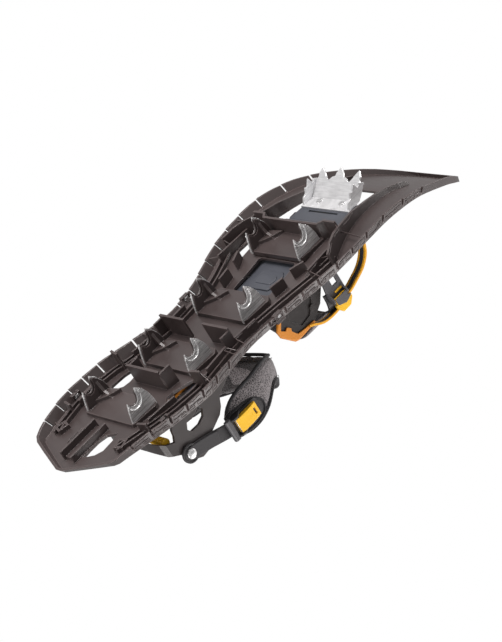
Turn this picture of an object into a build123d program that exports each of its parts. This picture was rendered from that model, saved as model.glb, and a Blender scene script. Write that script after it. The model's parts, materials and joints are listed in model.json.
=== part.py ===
from build123d import *
import math
import os

os.makedirs("parts", exist_ok=True)

# ------------------------------------------------------------------ dimensions (mm)
# One left-foot snowshoe, 579 mm long and 218 mm wide, standing on its claws.
# +X to the nose, +Y to the wearer's left, +Z up, origin on the floor under the middle.
deck_t = 3.2            # deck plate thickness
skirt_t = 3.0           # thickness of the turned-down rail
plate_drop = 5.2        # how far a claw plate stands below the deck
slot_w = 2.2            # relief slots in the rail
claw_t = 2.2            # steel blade thickness
claw_y = 41.5           # outer face of the claw blades from the middle
axle_x, axle_z, axle_r = 98.0, 38.0, 4.0      # binding pivot
pivot_clear = 0.06      # running clearance of the pivots
bed_z = 45.6            # underside of the foot plate behind the toe
bed_t = 4.0             # foot plate thickness
rivet_x, rivet_z = -183.0, 94.0               # ankle strap rivets
lift_x, lift_z = -198.0, 41.6                 # heel lift pivot
rod_rear_x, rod_front_x = -198.1, -32.5       # cross rods through the deck

# station, half width, height of the rail's lower rim, height of the deck's underside
rail = [
    (-289.5, 0.0, 29.6, 32.9), (-269.5, 66.5, 26.3, 31.6), (-242.8, 79.8, 22.3, 31.6),
    (-220.9, 86.5, 21.7, 32.4), (-198.1, 92.6, 23.0, 33.4), (-176.3, 95.0, 24.8, 35.0),
    (-149.8, 94.7, 26.2, 37.6), (-129.8, 90.7, 27.9, 39.5), (-109.0, 86.0, 29.6, 40.2),
    (-83.4, 81.2, 32.5, 41.0), (-64.4, 79.3, 34.0, 41.2), (-45.5, 80.8, 34.6, 41.4),
    (-23.6, 83.6, 33.6, 41.8), (-5.5, 88.4, 31.9, 41.2), (20.3, 97.8, 29.2, 39.2),
    (44.1, 105.0, 27.0, 36.4), (73.6, 108.8, 25.1, 33.9), (102.1, 109.2, 24.0, 33.1),
    (117.3, 107.8, 24.5, 33.9), (135.3, 105.9, 26.7, 36.0), (151.4, 103.1, 30.4, 39.3),
    (168.4, 99.8, 35.4, 43.6), (184.3, 95.0, 41.9, 49.2), (201.2, 88.8, 50.6, 57.3),
    (215.3, 82.6, 58.6, 64.8), (229.3, 74.6, 67.3, 73.0), (243.3, 64.6, 77.2, 82.1),
    (257.2, 52.2, 88.7, 92.9), (268.4, 39.9, 98.7, 102.3), (277.6, 27.5, 107.6, 110.8),
    (285.0, 15.2, 115.5, 118.4), (289.6, 0.0, 120.6, 123.3),
]


def cubic(x, col):
    """Smooth value of one rail column at station x."""
    n = len(rail)
    i = max(j for j in range(n - 1) if rail[j][0] <= x or j == 0)
    x0, x1 = rail[i][0], rail[i + 1][0]
    v0, v1 = rail[i][col], rail[i + 1][col]
    h = x1 - x0
    u = (x - x0) / h

    def slope(j):
        if j == 0:
            return (rail[1][col] - rail[0][col]) / (rail[1][0] - rail[0][0])
        if j == n - 1:
            return (rail[-1][col] - rail[-2][col]) / (rail[-1][0] - rail[-2][0])
        sa = (rail[j][col] - rail[j - 1][col]) / (rail[j][0] - rail[j - 1][0])
        sb = (rail[j + 1][col] - rail[j][col]) / (rail[j + 1][0] - rail[j][0])
        return 0.0 if sa * sb <= 0 else 2.0 * sa * sb / (sa + sb)

    m0, m1 = slope(i) * h, slope(i + 1) * h
    return ((2 * u**3 - 3 * u**2 + 1) * v0 + (u**3 - 2 * u**2 + u) * m0 + (-2 * u**3 + 3 * u**2) * v1 + (u**3 - u**2) * m1)


def under(x):
    return cubic(x, 3)


def rim(x):
    return cubic(x, 2)


def half(x):
    return cubic(x, 1)


def inset(points, d):
    """Move an open chain of points to its right by d."""
    out = []
    n = len(points)
    for i, p in enumerate(points):
        a = points[max(i - 1, 0)]
        b = points[min(i + 1, n - 1)]
        tx, ty = b[0] - a[0], b[1] - a[1]
        ln = math.hypot(tx, ty)
        out.append((p[0] + ty / ln * d, p[1] - tx / ln * d))
    return out


XZ = Plane(origin=(0, 0, 0), x_dir=(1, 0, 0), z_dir=(0, -1, 0))

slot_x = [-243.1, -220.4, -198.2, -176.6, -153.9, -131.0, -108.8, -44.8, -22.5, -0.3, 18.8, 43.1, 66.0, 89.5, 117.7, 151.8, 185.5]
flare = 8.0             # how far the rail leans out from the deck's edge to its rim
tooth = 1.5             # step between neighbouring segments of the rim
tail_chain = [(-289.5, 4.0), (-282.5, 24.0), (-274.6, 46.0), (-267.6, 64.5)]


def lean(x):
    """Horizontal lean of the rail at station x."""
    d = min(flare, 0.72 * (under(x) + deck_t - rim(x)))
    return d if x < 250 else d * max(0.25, (289.6 - x) / 40.0)


def stations(teeth):
    """Stations of the rail, from the tail to the nose, with each one's share of a rim segment."""
    marks = [-262.0] + slot_x + [206.0, 226.0, 246.0, 262.0, 274.0, 283.0, 289.5]
    out = []
    for a, b in zip(marks, marks[1:]):
        n = max(1, round((b - a) / 9.5))
        e = 0.5 if teeth and a in slot_x and b in slot_x else 0.0
        for i in range(n + 1 if e else n):
            x = a + e + (b - a - 2 * e) * i / n
            out.append((x, (x - a) / (b - a) if e else 0.0))
    out.append((marks[-1], 0.0))
    return out


def chain(teeth, last):
    """Half of the plan outline with the tooth offset of each point."""
    pts = [(x, half(x), t) for x, t in stations(teeth) if x <= last]
    return [(x, y, 0.0) for x, y in tail_chain] + pts


def level(pts, d_of, z_of):
    """Move each point inwards by its own distance and lift it to its height."""
    n = len(pts)
    out = []
    for i, p in enumerate(pts):
        a, b = pts[max(i - 1, 0)], pts[min(i + 1, n - 1)]
        tx, ty = b[0] - a[0], b[1] - a[1]
        ln = math.hypot(tx, ty)
        d = d_of(p)
        out.append((p[0] + ty / ln * d, max(p[1] - tx / ln * d, 0.8), z_of(p[0])))
    return out


def ruled_body(low, high):
    """Closed body between a lower and an upper half outline, mirrored about the middle."""
    faces = []

    def face(*pts):
        faces.append(Face(Wire.make_polygon([Vector(*q) for q in pts], close=True)))

    def m(q):
        return (q[0], -q[1], q[2])

    for i in range(len(low) - 1):
        l0, l1, h0, h1 = low[i], low[i + 1], high[i], high[i + 1]
        face(m(l0), l0, l1, m(l1))
        face(m(h0), h0, h1, m(h1))
        for g in (lambda q: q, m):
            face(g(l0), g(l1), g(h1))
            face(g(l0), g(h1), g(h0))
    face(m(low[0]), low[0], high[0], m(high[0]))
    face(m(low[-1]), low[-1], high[-1], m(high[-1]))
    return Solid(Shell(faces))


def clamp_x(x):
    return min(max(x, -289.5), 289.6)


outer_chain = chain(True, 289.6)
tray_outer = ruled_body(level(outer_chain, lambda p: tooth * p[2], lambda x: rim(clamp_x(x))),
                        level(outer_chain, lambda p: lean(p[0]), lambda x: under(clamp_x(x)) + deck_t))
inner_chain = chain(False, 280.0)


def void_d(p, dz):
    """Inward distance of the inner face at dz below the deck's underside."""
    h = under(clamp_x(p[0])) + deck_t - rim(clamp_x(p[0]))
    return skirt_t + lean(p[0]) * (h - deck_t - dz) / h


tray_void = ruled_body(level(inner_chain, lambda p: void_d(p, under(p[0]) - rim(p[0]) + 3.0), lambda x: rim(clamp_x(x)) - 3.0),
                       level(inner_chain, lambda p: void_d(p, 0.0), lambda x: under(clamp_x(x))))

# low ridges on the underside that run along the rail
ridge_x = [-256 + 8.0 * i for i in range(40)]
with BuildPart() as ridges:
    with BuildSketch(XZ):
        with BuildLine():
            Polyline(*[(x, under(x) - 5.2) for x in ridge_x], *[(x, under(x) + 1.0) for x in reversed(ridge_x)], close=True)
        make_face()
    extrude(amount=125, both=True)
    with BuildSketch(Plane.XY):
        for d in (18.5, 26.0):
            for sgn in (1, -1):
                with BuildLine():
                    c = [(x, half(x)) for x in ridge_x]
                    e, f = inset(c, d), inset(c, d + 2.0)
                    Polyline(*[(p[0], sgn * p[1]) for p in e], *[(p[0], sgn * p[1]) for p in reversed(f)], close=True)
                make_face()
    extrude(amount=100, mode=Mode.INTERSECT)

# ------------------------------------------------------------------ deck: walls that follow the deck
# half outlines of the openings, mirrored in use
nose_hole = [(89.5, 63.0), (104.0, 63.0), (120.0, 58.5), (136.0, 54.5), (155.0, 50.0), (175.0, 45.0)]
nose_wall = [(47.0, 88.5), (60.0, 81.5), (73.0, 75.2), (87.0, 68.8), (104.0, 63.2), (120.0, 58.7), (136.0, 54.7),
             (155.0, 50.2), (175.0, 45.2), (192.0, 42.0), (207.0, 38.0)]
nose_wall_rim = [(46.0, 20.5), (53.0, 19.0), (61.0, 16.3), (74.0, 15.6), (93.0, 18.5), (114.5, 21.2), (141.0, 28.3), (158.0, 33.3),
                 (176.0, 39.8), (200.0, 51.0), (208.0, 58.5)]

with BuildPart() as nose_walls:
    with BuildSketch(XZ):
        with BuildLine():
            top = [(x, under(x) + 1.2) for x in (46, 58, 70, 85, 100, 115, 130, 145, 160, 175, 190, 208)]
            Polyline(*nose_wall_rim, *reversed(top), close=True)
        make_face()
    extrude(amount=125, both=True)
    with BuildSketch(Plane.XY):
        for sgn in (1, -1):
            with BuildLine():
                a = [(p[0], sgn * p[1]) for p in nose_wall]
                b = [(p[0], sgn * p[1]) for p in inset(nose_wall, -2.6)]
                Polyline(*a, *reversed(b), close=True)
            make_face()
    extrude(amount=100, mode=Mode.INTERSECT)

# plan of the through openings beside the claw plates and in the tail (half, mirrored in use)
side_holes = [
    [(28.0, 59.5), (56.0, 57.5), (65.0, 61.0), (63.0, 70.0), (50.0, 73.0), (36.0, 69.0)],
    [(-176.0, 50.0), (-166.0, 38.0), (-157.0, 37.5), (-135.0, 44.0), (-132.0, 54.0), (-150.0, 57.5), (-168.0, 56.0)],
    [(-266.0, 12.5), (-259.0, 26.0), (-251.0, 31.5), (-237.0, 30.5), (-225.0, 27.0), (-232.0, 14.0), (-242.0, 11.2), (-254.0, 11.0)],
]
rail_pin_xz = [(rod_rear_x, 25.5), (rod_front_x, 33.5)]
claw_tips = [0.0, 6.0, 5.7, 0.0]
# blade outline from its tip: forward, up
blade = [(0, 0), (5.5, 5.5), (9.3, 13.0), (11.3, 21.0), (12.0, 29.6), (12.0, 32.1), (-22.0, 32.1), (-22.0, 29.6), (-21.0, 25.0),
         (-18.4, 15.5), (-15.8, 8.8), (-14.6, 12.6), (-11.4, 15.2), (-7.4, 15.6), (-4.0, 13.4), (-2.2, 9.0), (-1.8, 4.5)]
skin_profile = [(0.6, 2.8), (4.9, 6.8), (8.6, 13.5), (10.6, 21.0), (11.2, 30.6), (-21.0, 30.6), (-20.2, 25.0), (-17.6, 16.2), (-15.4, 11.4),
                (-14.0, 14.2), (-11.0, 16.6), (-7.2, 17.0), (-3.2, 14.8), (-1.3, 9.8), (-0.9, 5.0)]

# ------------------------------------------------------------------ deck
claw_rows = [65.6, -27.8, -109.3, -190.5]
# claw plate of each row: rear x, front x, underside z, half width
plates = [(45.0, 84.0, 30.0, 43.5), (-49.0, -9.0, 35.6, 43.5), (-130.0, -92.0, 34.6, 43.5), (-214.5, -178.0, 28.4, 43.5)]

with BuildPart() as features:
    # claw plates
    for x0, x1, zb, hw in plates:
        top = min(under(x0), under(x1)) + 1.6
        with BuildSketch(Plane.XY.offset(zb)):
            with BuildLine():
                Polyline((x0, -hw + 2), (x0, hw - 2), (x0 + 3, hw), (x1 - 6, hw + 3), (x1, hw - 3), (x1, -hw + 3), (x1 - 6, -hw - 3),
                         (x0 + 3, -hw), close=True)
            make_face()
        extrude(amount=top - zb)
    # front cross wall around the first claw row
    for pts in ([(80.5, -45.0), (80.5, 45.0)], [(80.5, 44.0), (87.0, 50.0), (87.0, 68.0)], [(80.5, -44.0), (87.0, -50.0), (87.0, -68.0)]):
        with BuildSketch(Plane.XY.offset(12.0)):
            with BuildLine():
                Polyline(*pts)
            trace(line_width=2.6)
        extrude(amount=34.4 - 12.0)
    # upright fins and walls under the deck: centre x, centre y, length, thickness, angle, low z
    fins = [(-78.0, 38.0, 42.0, 2.6, 90, 16.6), (-78.0, -38.0, 42.0, 2.6, 90, 16.6), (-154.0, 0.0, 56.0, 2.6, 90, 14.0),
            (-140.0, 71.0, 14.0, 2.4, 80, 17.2), (-140.0, -71.0, 14.0, 2.4, 100, 17.2), (-216.0, 67.0, 13.0, 2.4, 80, 19.5),
            (-216.0, -67.0, 13.0, 2.4, 100, 19.5), (31.0, 52.0, 17.0, 2.6, 28, 26.0), (31.0, -52.0, 17.0, 2.6, -28, 26.0),
            (4.0, 45.5, 17.0, 2.6, 12, 27.5), (4.0, -45.5, 17.0, 2.6, -12, 27.5), (-62.0, 60.5, 30.0, 2.4, 4, 30.0),
            (-62.0, -60.5, 30.0, 2.4, -4, 30.0), (-108.0, 63.0, 34.0, 2.4, -8, 29.0), (-108.0, -63.0, 34.0, 2.4, 8, 29.0),
            (-188.0, 64.0, 36.0, 2.4, 6, 24.0), (-188.0, -64.0, 36.0, 2.4, -6, 24.0),
            (49.0, 75.4, 46.0, 2.2, -3, 24.5), (49.0, -75.4, 46.0, 2.2, 3, 24.5)]
    for fx, fy, ln, th, ang, zl in fins:
        with BuildSketch(Plane.XY.offset(zl)):
            with Locations((fx, fy)):
                Rectangle(ln, th, rotation=ang)
        extrude(amount=under(fx) + 1.4 - zl)
    # end returns of the transverse walls
    for fx, fy, ln, th, ang, zl in [(-147.0, 28.0, 15.0, 2.4, 0, 16.5), (-147.0, -28.0, 15.0, 2.4, 0, 16.5),
                                    (-84.0, 58.0, 13.0, 2.4, 0, 20.0), (-84.0, -58.0, 13.0, 2.4, 0, 20.0)]:
        with BuildSketch(Plane.XY.offset(zl)):
            with Locations((fx, fy)):
                Rectangle(ln, th, rotation=ang)
        extrude(amount=under(fx) + 1.4 - zl)
    # tail rib: a floor between two ridges
    for fy, ln, th, zl in [(-9.0, 50.0, 2.6, 21.5), (8.0, 50.0, 2.6, 24.0), (0.0, 46.0, 16.0, 29.0)]:
        with BuildSketch(Plane.XY.offset(zl)):
            with Locations((-249.0, fy)):
                Rectangle(ln, th)
        extrude(amount=under(-249.0) + 1.0 - zl)
    # small square sockets near the tail
    for sgn in (1, -1):
        with BuildSketch(Plane.XY.offset(26.5)):
            with Locations((-240.0, sgn * 53.0)):
                Rectangle(13.0, 12.0, rotation=sgn * -18)
                Rectangle(8.0, 7.0, rotation=sgn * -18, mode=Mode.SUBTRACT)
        extrude(amount=6.6)
    # lugs for the binding axle, on the deck beside the toe opening
    for sgn in (1, -1):
        with BuildSketch(Plane.XY.offset(33.6)):
            with Locations((axle_x, sgn * 69.0)):
                RectangleRounded(21.0, 10.0, 2.0)
        extrude(amount=45.5 - 33.6)
    # lugs for the heel lift, on top of the deck
    for sgn in (1, -1):
        with BuildSketch(Plane.XY.offset(34.0)):
            with Locations((lift_x, sgn * 22.5)):
                RectangleRounded(13.0, 7.0, 1.5)
        extrude(amount=46.6 - 34.0)
    # plastic backing on the inner face of each claw: a skin, an upright ridge and a pad
    for xc, (x0, x1, zb, hw), zt in zip(claw_rows, plates, claw_tips):
        for sgn in (1, -1):
            k = (zb - zt) / 29.6
            with BuildSketch(Plane(origin=(0, sgn * (claw_y - claw_t), 0), x_dir=(1, 0, 0), z_dir=(0, -1, 0))):
                with BuildLine():
                    Polyline(*[(xc + a, zt + b * k) for a, b in skin_profile], close=True)
                make_face()
            extrude(amount=1.8 * sgn)
            # upright ridge, in the plane across the shoe
            yi = claw_y - claw_t
            with BuildSketch(Plane(origin=(xc + 1.0, 0, 0), x_dir=(0, 1, 0), z_dir=(1, 0, 0))):
                with BuildLine():
                    Polyline((sgn * yi, zt + 4.5 * k), (sgn * yi, zb + 1.0), (sgn * (yi - 16.0), zb + 1.0), (sgn * (yi - 13.5), zb - 2.4),
                             (sgn * (yi - 6.2), zb - 7.5), (sgn * (yi - 4.0), zb - 13.0), (sgn * (yi - 2.4), zt + 11.0 * k), close=True)
                make_face()
            extrude(amount=3.0)
            # triangular pad at the foot of the ridge
            with BuildSketch(Plane.XY.offset(zb - 4.2)):
                with BuildLine():
                    Polyline((xc - 11.0, sgn * yi), (xc + 9.0, sgn * yi), (xc + 13.0, sgn * (yi - 20.0)), (xc + 1.0, sgn * (yi - 13.0)),
                             close=True)
                make_face()
            extrude(amount=4.8)
    # housings of the rail pins
    for px, pz in rail_pin_xz:
        for sgn in (1, -1):
            with BuildSketch(Plane.XY.offset(pz - 1.0)):
                with Locations((px, sgn * 80.0)):
                    Rectangle(11.0, 5.0)
            extrude(amount=under(px) + 1.2 - (pz - 1.0))

with BuildPart() as cutters:
    # openings through the deck
    with BuildSketch(Plane.XY.offset(20.0)):
        with BuildLine():
            Polyline(*nose_hole, *[(p[0], -p[1]) for p in reversed(nose_hole)], close=True)
        make_face()
    extrude(amount=40.0)
    with BuildSketch(Plane.XY.offset(33.0)):
        with Locations((20.0, 0)):
            RectangleRounded(48.0, 61.6, 4.0)
    extrude(amount=20.0)
    for hole in side_holes:
        for sgn in (1, -1):
            with BuildSketch(Plane.XY.offset(28.0)):
                with BuildLine():
                    Polyline(*[(p[0], sgn * p[1]) for p in hole], close=True)
                make_face()
            extrude(amount=24.0)
    # relief slots through the rail
    for sx in slot_x:
        t = math.atan2(half(sx + 4) - half(sx - 4), 8.0)
        for sgn in (1, -1):
            cx, cy = sx + math.sin(t) * 5.0, half(sx) - math.cos(t) * 5.0
            with BuildSketch(Plane.XY.offset(rim(sx) - 6.0)):
                with Locations((cx, sgn * cy)):
                    Rectangle(slot_w, 19.0, rotation=sgn * math.degrees(t))
            extrude(amount=under(sx) - 0.6 - (rim(sx) - 6.0))
    # pockets for the claw blades
    for xc, (x0, x1, zb, hw), zt in zip(claw_rows, plates, claw_tips):
        for sgn in (1, -1):
            with BuildSketch(Plane.XY.offset(zb - 0.5)):
                with Locations((xc - 5.0, sgn * (claw_y - claw_t / 2))):
                    Rectangle(34.0, claw_t)
            extrude(amount=3.0)
    # bore for the binding axle and for the heel lift wire
    for px, pz, pr, hl in ((axle_x, axle_z, axle_r, 71.5), (lift_x, lift_z, 2.06, 27.0)):
        with BuildSketch(Plane(origin=(px, 0, pz), x_dir=(1, 0, 0), z_dir=(0, -1, 0))):
            Circle(pr)
        extrude(amount=hl, both=True)
    # housings and bores for the rail pins
    for px, pz in rail_pin_xz:
        for sgn in (1, -1):
            with BuildSketch(Plane(origin=(px, sgn * 86.0, pz + 3.0), x_dir=(1, 0, 0), z_dir=(0, -sgn, 0))):
                Circle(2.0)
            extrude(amount=10.0)
            with BuildSketch(Plane(origin=(px, sgn * 77.35, pz + 3.0), x_dir=(1, 0, 0), z_dir=(0, -sgn, 0))):
                Circle(3.9)
            extrude(amount=3.0)

with BuildPart() as deck_frame:
    add(tray_outer)
    add(tray_void, mode=Mode.SUBTRACT)
    add(nose_walls.part)
    add(ridges.part)
    add(features.part)
    add(cutters.part, mode=Mode.SUBTRACT)
deck_frame.part.label = "deck_frame"
export_step(deck_frame.part, "parts/deck_frame.step")


def save(builder, name):
    builder.part.label = name
    export_step(builder.part, "parts/" + name + ".step")


def side_plane(y):
    """Plane parallel to X-Z through y, drawn with X to the right and Z up, extruding towards -Y."""
    return Plane(origin=(0, y, 0), x_dir=(1, 0, 0), z_dir=(0, -1, 0))


def cross_plane(x):
    """Plane parallel to Y-Z through x, drawn with Y to the right and Z up, extruding towards +X."""
    return Plane(origin=(x, 0, 0), x_dir=(0, 1, 0), z_dir=(1, 0, 0))


# ------------------------------------------------------------------ claws and deck hardware
row_names = ["1_front", "2", "3", "4_rear"]
for xc, (x0, x1, zb, hw), zt, row in zip(claw_rows, plates, claw_tips, row_names):
    for sgn, side in ((1, "left"), (-1, "right")):
        k = (zb - zt) / 29.6
        with BuildPart() as claw:
            with BuildSketch(side_plane(sgn * claw_y)):
                with BuildLine():
                    Polyline(*[(xc + a, zt + b * k if b < 29 else zb + (b - 29.6)) for a, b in blade], close=True)
                make_face()
            extrude(amount=claw_t * sgn)
        save(claw, "claw_" + row + "_" + side)

with BuildPart() as rail_pins:
    for px, pz in rail_pin_xz:
        for sgn in (1, -1):
            with BuildSketch(side_plane(sgn * 77.3)):
                with Locations((px, pz + 3.0)):
                    RegularPolygon(3.4, 6)
            extrude(amount=1.8 * sgn)
            with BuildSketch(side_plane(sgn * 82.5)):
                with Locations((px, pz + 3.0)):
                    Circle(2.0)
            extrude(amount=5.2 * sgn)
save(rail_pins, "rail_pins")

with BuildPart() as toe_axle:
    with BuildSketch(side_plane(71.5)):
        with Locations((axle_x, axle_z)):
            Circle(axle_r)
    extrude(amount=143.0)
save(toe_axle, "toe_axle")

with BuildPart() as axle_spacers:
    for sgn in (1, -1):
        with BuildSketch(side_plane(sgn * 62.0)):
            with Locations((axle_x, axle_z)):
                Circle(6.2)
                Circle(axle_r, mode=Mode.SUBTRACT)
        extrude(amount=19.6 * sgn)
save(axle_spacers, "axle_spacers")

# ------------------------------------------------------------------ heel lift: a wire bail with a ribbed grip
lift_h = 30.6           # from the pivot to the cross bar
lift_dx = 3.6
wire_r = 2.0
grip_ribs = (39.4, 34.2, 29.0, 23.8, -23.8, -29.0, -34.2, -39.4)
with BuildPart() as lift_wire:
    with BuildSketch(side_plane(26.0)):
        with Locations((lift_x, lift_z)):
            Circle(wire_r)
    extrude(amount=11.0)
    with BuildSketch(side_plane(-15.0)):
        with Locations((lift_x, lift_z)):
            Circle(wire_r)
    extrude(amount=11.0)
    for sgn in (1, -1):
        with BuildSketch(Plane(origin=(lift_x, sgn * 15.0, lift_z), x_dir=(0, 1, 0), z_dir=(lift_dx, 0, lift_h))):
            Circle(wire_r)
        extrude(amount=math.hypot(lift_dx, lift_h))
    with BuildSketch(side_plane(39.0)):
        with Locations((lift_x + lift_dx, lift_z + lift_h)):
            Circle(wire_r)
    extrude(amount=78.0)
save(lift_wire, "heel_lift_wire")

with BuildPart() as lift_grip:
    gx, gz = lift_x + lift_dx, lift_z + lift_h
    with BuildSketch(side_plane(40.9)):
        with Locations((gx, gz)):
            Circle(4.3)
    extrude(amount=81.8)
    for y0 in grip_ribs:
        with BuildSketch(side_plane(y0 + 1.5)):
            with Locations((gx, gz)):
                Circle(5.3)
        extrude(amount=3.0)
    with BuildSketch(side_plane(39.0)):
        with Locations((gx, gz)):
            Circle(wire_r)
    extrude(amount=78.0, mode=Mode.SUBTRACT)
    # slots where the two legs of the wire come in
    for sgn in (1, -1):
        with BuildSketch(Plane.XY.offset(gz - 8.0)):
            with Locations((gx - 0.6, sgn * 15.0)):
                Rectangle(5.4, 4.2)
        extrude(amount=8.0, mode=Mode.SUBTRACT)
save(lift_grip, "heel_lift_grip")

# ------------------------------------------------------------------ binding: foot plate and crampon
riv = [(135.4, 18.9), (135.4, -18.9)]
screws = [(-6.0, 34.0), (22.0, 34.0), (-6.0, -34.0), (22.0, -34.0)]
top = bed_z + bed_t
with BuildPart() as foot_plate:
    with BuildSketch(side_plane(60.0)):
        with BuildLine():
            Polyline((142.0, 34.4), (106.0, 34.4), (92.0, 37.0), (60.0, 42.6), (30.0, 45.2), (0.0, bed_z), (-62.0, bed_z),
                     (-62.0, bed_z + bed_t), (0.0, bed_z + bed_t), (30.0, bed_z + bed_t), (62.0, 46.6), (96.0, 41.0), (106.0, 38.6),
                     (142.0, 38.6), close=True)
        make_face()
    extrude(amount=120.0)
    with BuildSketch(Plane.XY.offset(20)):
        with BuildLine():
            Polyline((142.0, 34.0), (136.0, 39.0), (100.0, 42.0), (20.0, 40.0), (-40.0, 36.0), (-62.0, 32.0), (-62.0, -32.0),
                     (-40.0, -36.0), (20.0, -40.0), (100.0, -42.0), (136.0, -39.0), (142.0, -34.0), close=True)
        make_face()
    extrude(amount=40.0, mode=Mode.INTERSECT)
    with BuildSketch(side_plane(42.0)):
        with Locations((axle_x, axle_z)):
            Circle(7.4)
    extrude(amount=84.0)
    with BuildSketch(side_plane(50.0)):
        with Locations((axle_x, axle_z)):
            Circle(axle_r + pivot_clear)
    extrude(amount=100.0, mode=Mode.SUBTRACT)
    # cross slot behind the crampon, rivet and screw holes, and the two guide rails of the heel slide
    with BuildSketch(Plane.XY.offset(33.0)):
        with Locations((121.0, 0)):
            Rectangle(2.4, 48.0)
        with Locations(*riv):
            Circle(2.6)
    extrude(amount=8.0, mode=Mode.SUBTRACT)
    with BuildSketch(Plane.XY.offset(44.0)):
        with Locations(*screws):
            Circle(2.0)
    extrude(amount=8.0, mode=Mode.SUBTRACT)
    for sgn in (1, -1):
        with BuildSketch(Plane.XY.offset(bed_z + bed_t)):
            with Locations((-30.0, sgn * 27.0)):
                Rectangle(60.0, 3.0)
        extrude(amount=2.6)
save(foot_plate, "foot_plate")

with BuildPart() as crampon:
    with BuildSketch(Plane.XY.offset(32.4)):
        with BuildLine():
            Polyline((124.6, -39.5), (124.6, 39.5), (143.0, 36.0), (143.0, -36.0), close=True)
        make_face()
        with Locations(*riv):
            Circle(2.6, mode=Mode.SUBTRACT)
    extrude(amount=2.0)
    fall = (0.79, 0, -0.613)
    with BuildSketch(Plane(origin=(142.2, 0, 33.9), x_dir=fall, z_dir=(-0.613, 0, -0.79))):
        with BuildLine():
            Polyline((0, -36.0), (0, 36.0), (19.0, 36.5), (23.0, 33.5), (27.0, 33.8), (33.5, 30.0), (27.0, 24.0), (24.0, 22.0), (19.5, 17.0),
                     (24.0, 11.0), (25.5, 6.5), (29.0, 5.5), (35.5, 0.0), (29.0, -5.5), (25.5, -6.5), (24.0, -11.0), (19.5, -17.0),
                     (24.0, -22.0), (27.0, -24.0), (33.5, -30.0), (27.0, -33.8), (23.0, -33.5), (19.0, -36.5), close=True)
        make_face()
    extrude(amount=2.0)
    for sgn in (1, -1):
        with BuildSketch(side_plane(sgn * 38.4)):
            with BuildLine():
                Polyline((125.0, 34.4), (144.0, 34.4), (160.5, 21.5), (154.0, 17.2), (150.5, 20.5), (147.5, 12.6), (142.0, 19.5), (138.6, 18.4),
                         (136.0, 24.0), (131.0, 26.0), close=True)
            make_face()
        extrude(amount=2.0 * sgn)
save(crampon, "front_crampon")

with BuildPart() as crampon_rivets:
    for rx, ry in riv:
        with BuildSketch(Plane.XY.offset(31.0)):
            with Locations((rx, ry)):
                Circle(3.6)
        extrude(amount=1.4)
        with BuildSketch(Plane.XY.offset(32.4)):
            with Locations((rx, ry)):
                Circle(2.6)
        extrude(amount=6.2)
        with BuildSketch(Plane.XY.offset(38.6)):
            with Locations((rx, ry)):
                Circle(4.0)
        extrude(amount=1.2)
save(crampon_rivets, "crampon_rivets")


def arc_wall(x0, depth, width, p=2.3, n=12):
    """Half of a rounded end: points from (x0, +width) round to (x0, -width), reaching x0 + depth."""
    pts = []
    for i in range(n + 1):
        a = math.pi * i / n
        y = width * math.copysign(abs(math.cos(a)) ** (2.0 / p), math.cos(a))
        pts.append((x0 + depth * abs(math.sin(a)) ** (2.0 / p), y))
    return pts


# ------------------------------------------------------------------ toe cage
wing_y0, wing_y1 = 46.0, 49.5
wing = [(-16, top + 0.3), (-18, 57), (-27, 69), (-26, 75), (-13, 90), (-10, 92), (17, 91), (34, 81), (46, 66), (56, top + 0.3)]
wing_edge = [(-18, 57), (-27, 69), (-26, 75), (-13, 90), (-10, 92), (17, 91)]
for sgn, side in ((1, "left"), (-1, "right")):
    with BuildPart() as toe_wing:
        with BuildSketch(side_plane(sgn * wing_y1)):
            with BuildLine():
                Polyline(*wing, close=True)
            make_face()
        extrude(amount=(wing_y1 - wing_y0) * sgn)
        # shallow recess of the panel, and the round boss in front of it
        with BuildSketch(side_plane(sgn * wing_y1)):
            with BuildLine():
                Polyline((-8, 70), (-4, 61), (10, 57), (30, 58), (27, 70), (16, 82), (2, 84), close=True)
            make_face()
        extrude(amount=1.2 * sgn, mode=Mode.SUBTRACT)
        with BuildSketch(side_plane(sgn * (wing_y1 + 1.0))):
            with Locations((24.0, 77.0)):
                Circle(3.6)
        extrude(amount=2.0 * sgn)
        with BuildSketch(Plane.XY.offset(top + 0.3)):
            with BuildLine():
                Polyline((-14, sgn * 29.5), (-14, sgn * 46.0), (34, sgn * 46.0), (34, sgn * 38), (28, sgn * 29.5), close=True)
            make_face()
            with Locations(*[q for q in screws if q[1] * sgn > 0]):
                Circle(2.0, mode=Mode.SUBTRACT)
        extrude(amount=2.4)
    save(toe_wing, "toe_wing_" + side)

    with BuildPart() as toe_trim:
        with BuildSketch(side_plane(sgn * 51.4)):
            with BuildLine():
                Polyline(*(inset(wing_edge, 0.6) + list(reversed(inset(wing_edge, 4.2)))), close=True)
            make_face()
        extrude(amount=1.9 * sgn)
    save(toe_trim, "toe_trim_" + side)

with BuildPart() as wing_screws:
    for sx, sy in screws:
        with BuildSketch(Plane.XY.offset(bed_z + 0.2)):
            with Locations((sx, sy)):
                Circle(2.0)
        extrude(amount=bed_t + 2.5)
        with BuildSketch(Plane.XY.offset(top + 2.7)):
            with Locations((sx, sy)):
                Circle(3.6)
        extrude(amount=1.6)
save(wing_screws, "wing_screws")

# instep strap: an arch over the foot, both ends outside the wings
strap_x0, strap_x1 = 28.0, 58.0
arch_w, arch_base, arch_top, strap_t = 52.4, 80.0, 122.0, 2.4
with BuildPart() as instep_strap:
    with BuildSketch(cross_plane(strap_x0)):
        with BuildLine():
            outer = [(y, arch_base + z) for z, y in arc_wall(0, arch_top - arch_base, arch_w, 2.1, 16)]
            inner = [(y, arch_base + z) for z, y in arc_wall(0, arch_top - arch_base - strap_t, arch_w - strap_t, 2.1, 16)]
            Polyline((arch_w, 61.0), *outer, (-arch_w, 61.0), (-arch_w + strap_t, 61.0), *reversed(inner),
                     (arch_w - strap_t, 61.0), close=True)
        make_face()
    extrude(amount=strap_x1 - strap_x0)
save(instep_strap, "instep_strap")

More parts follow.
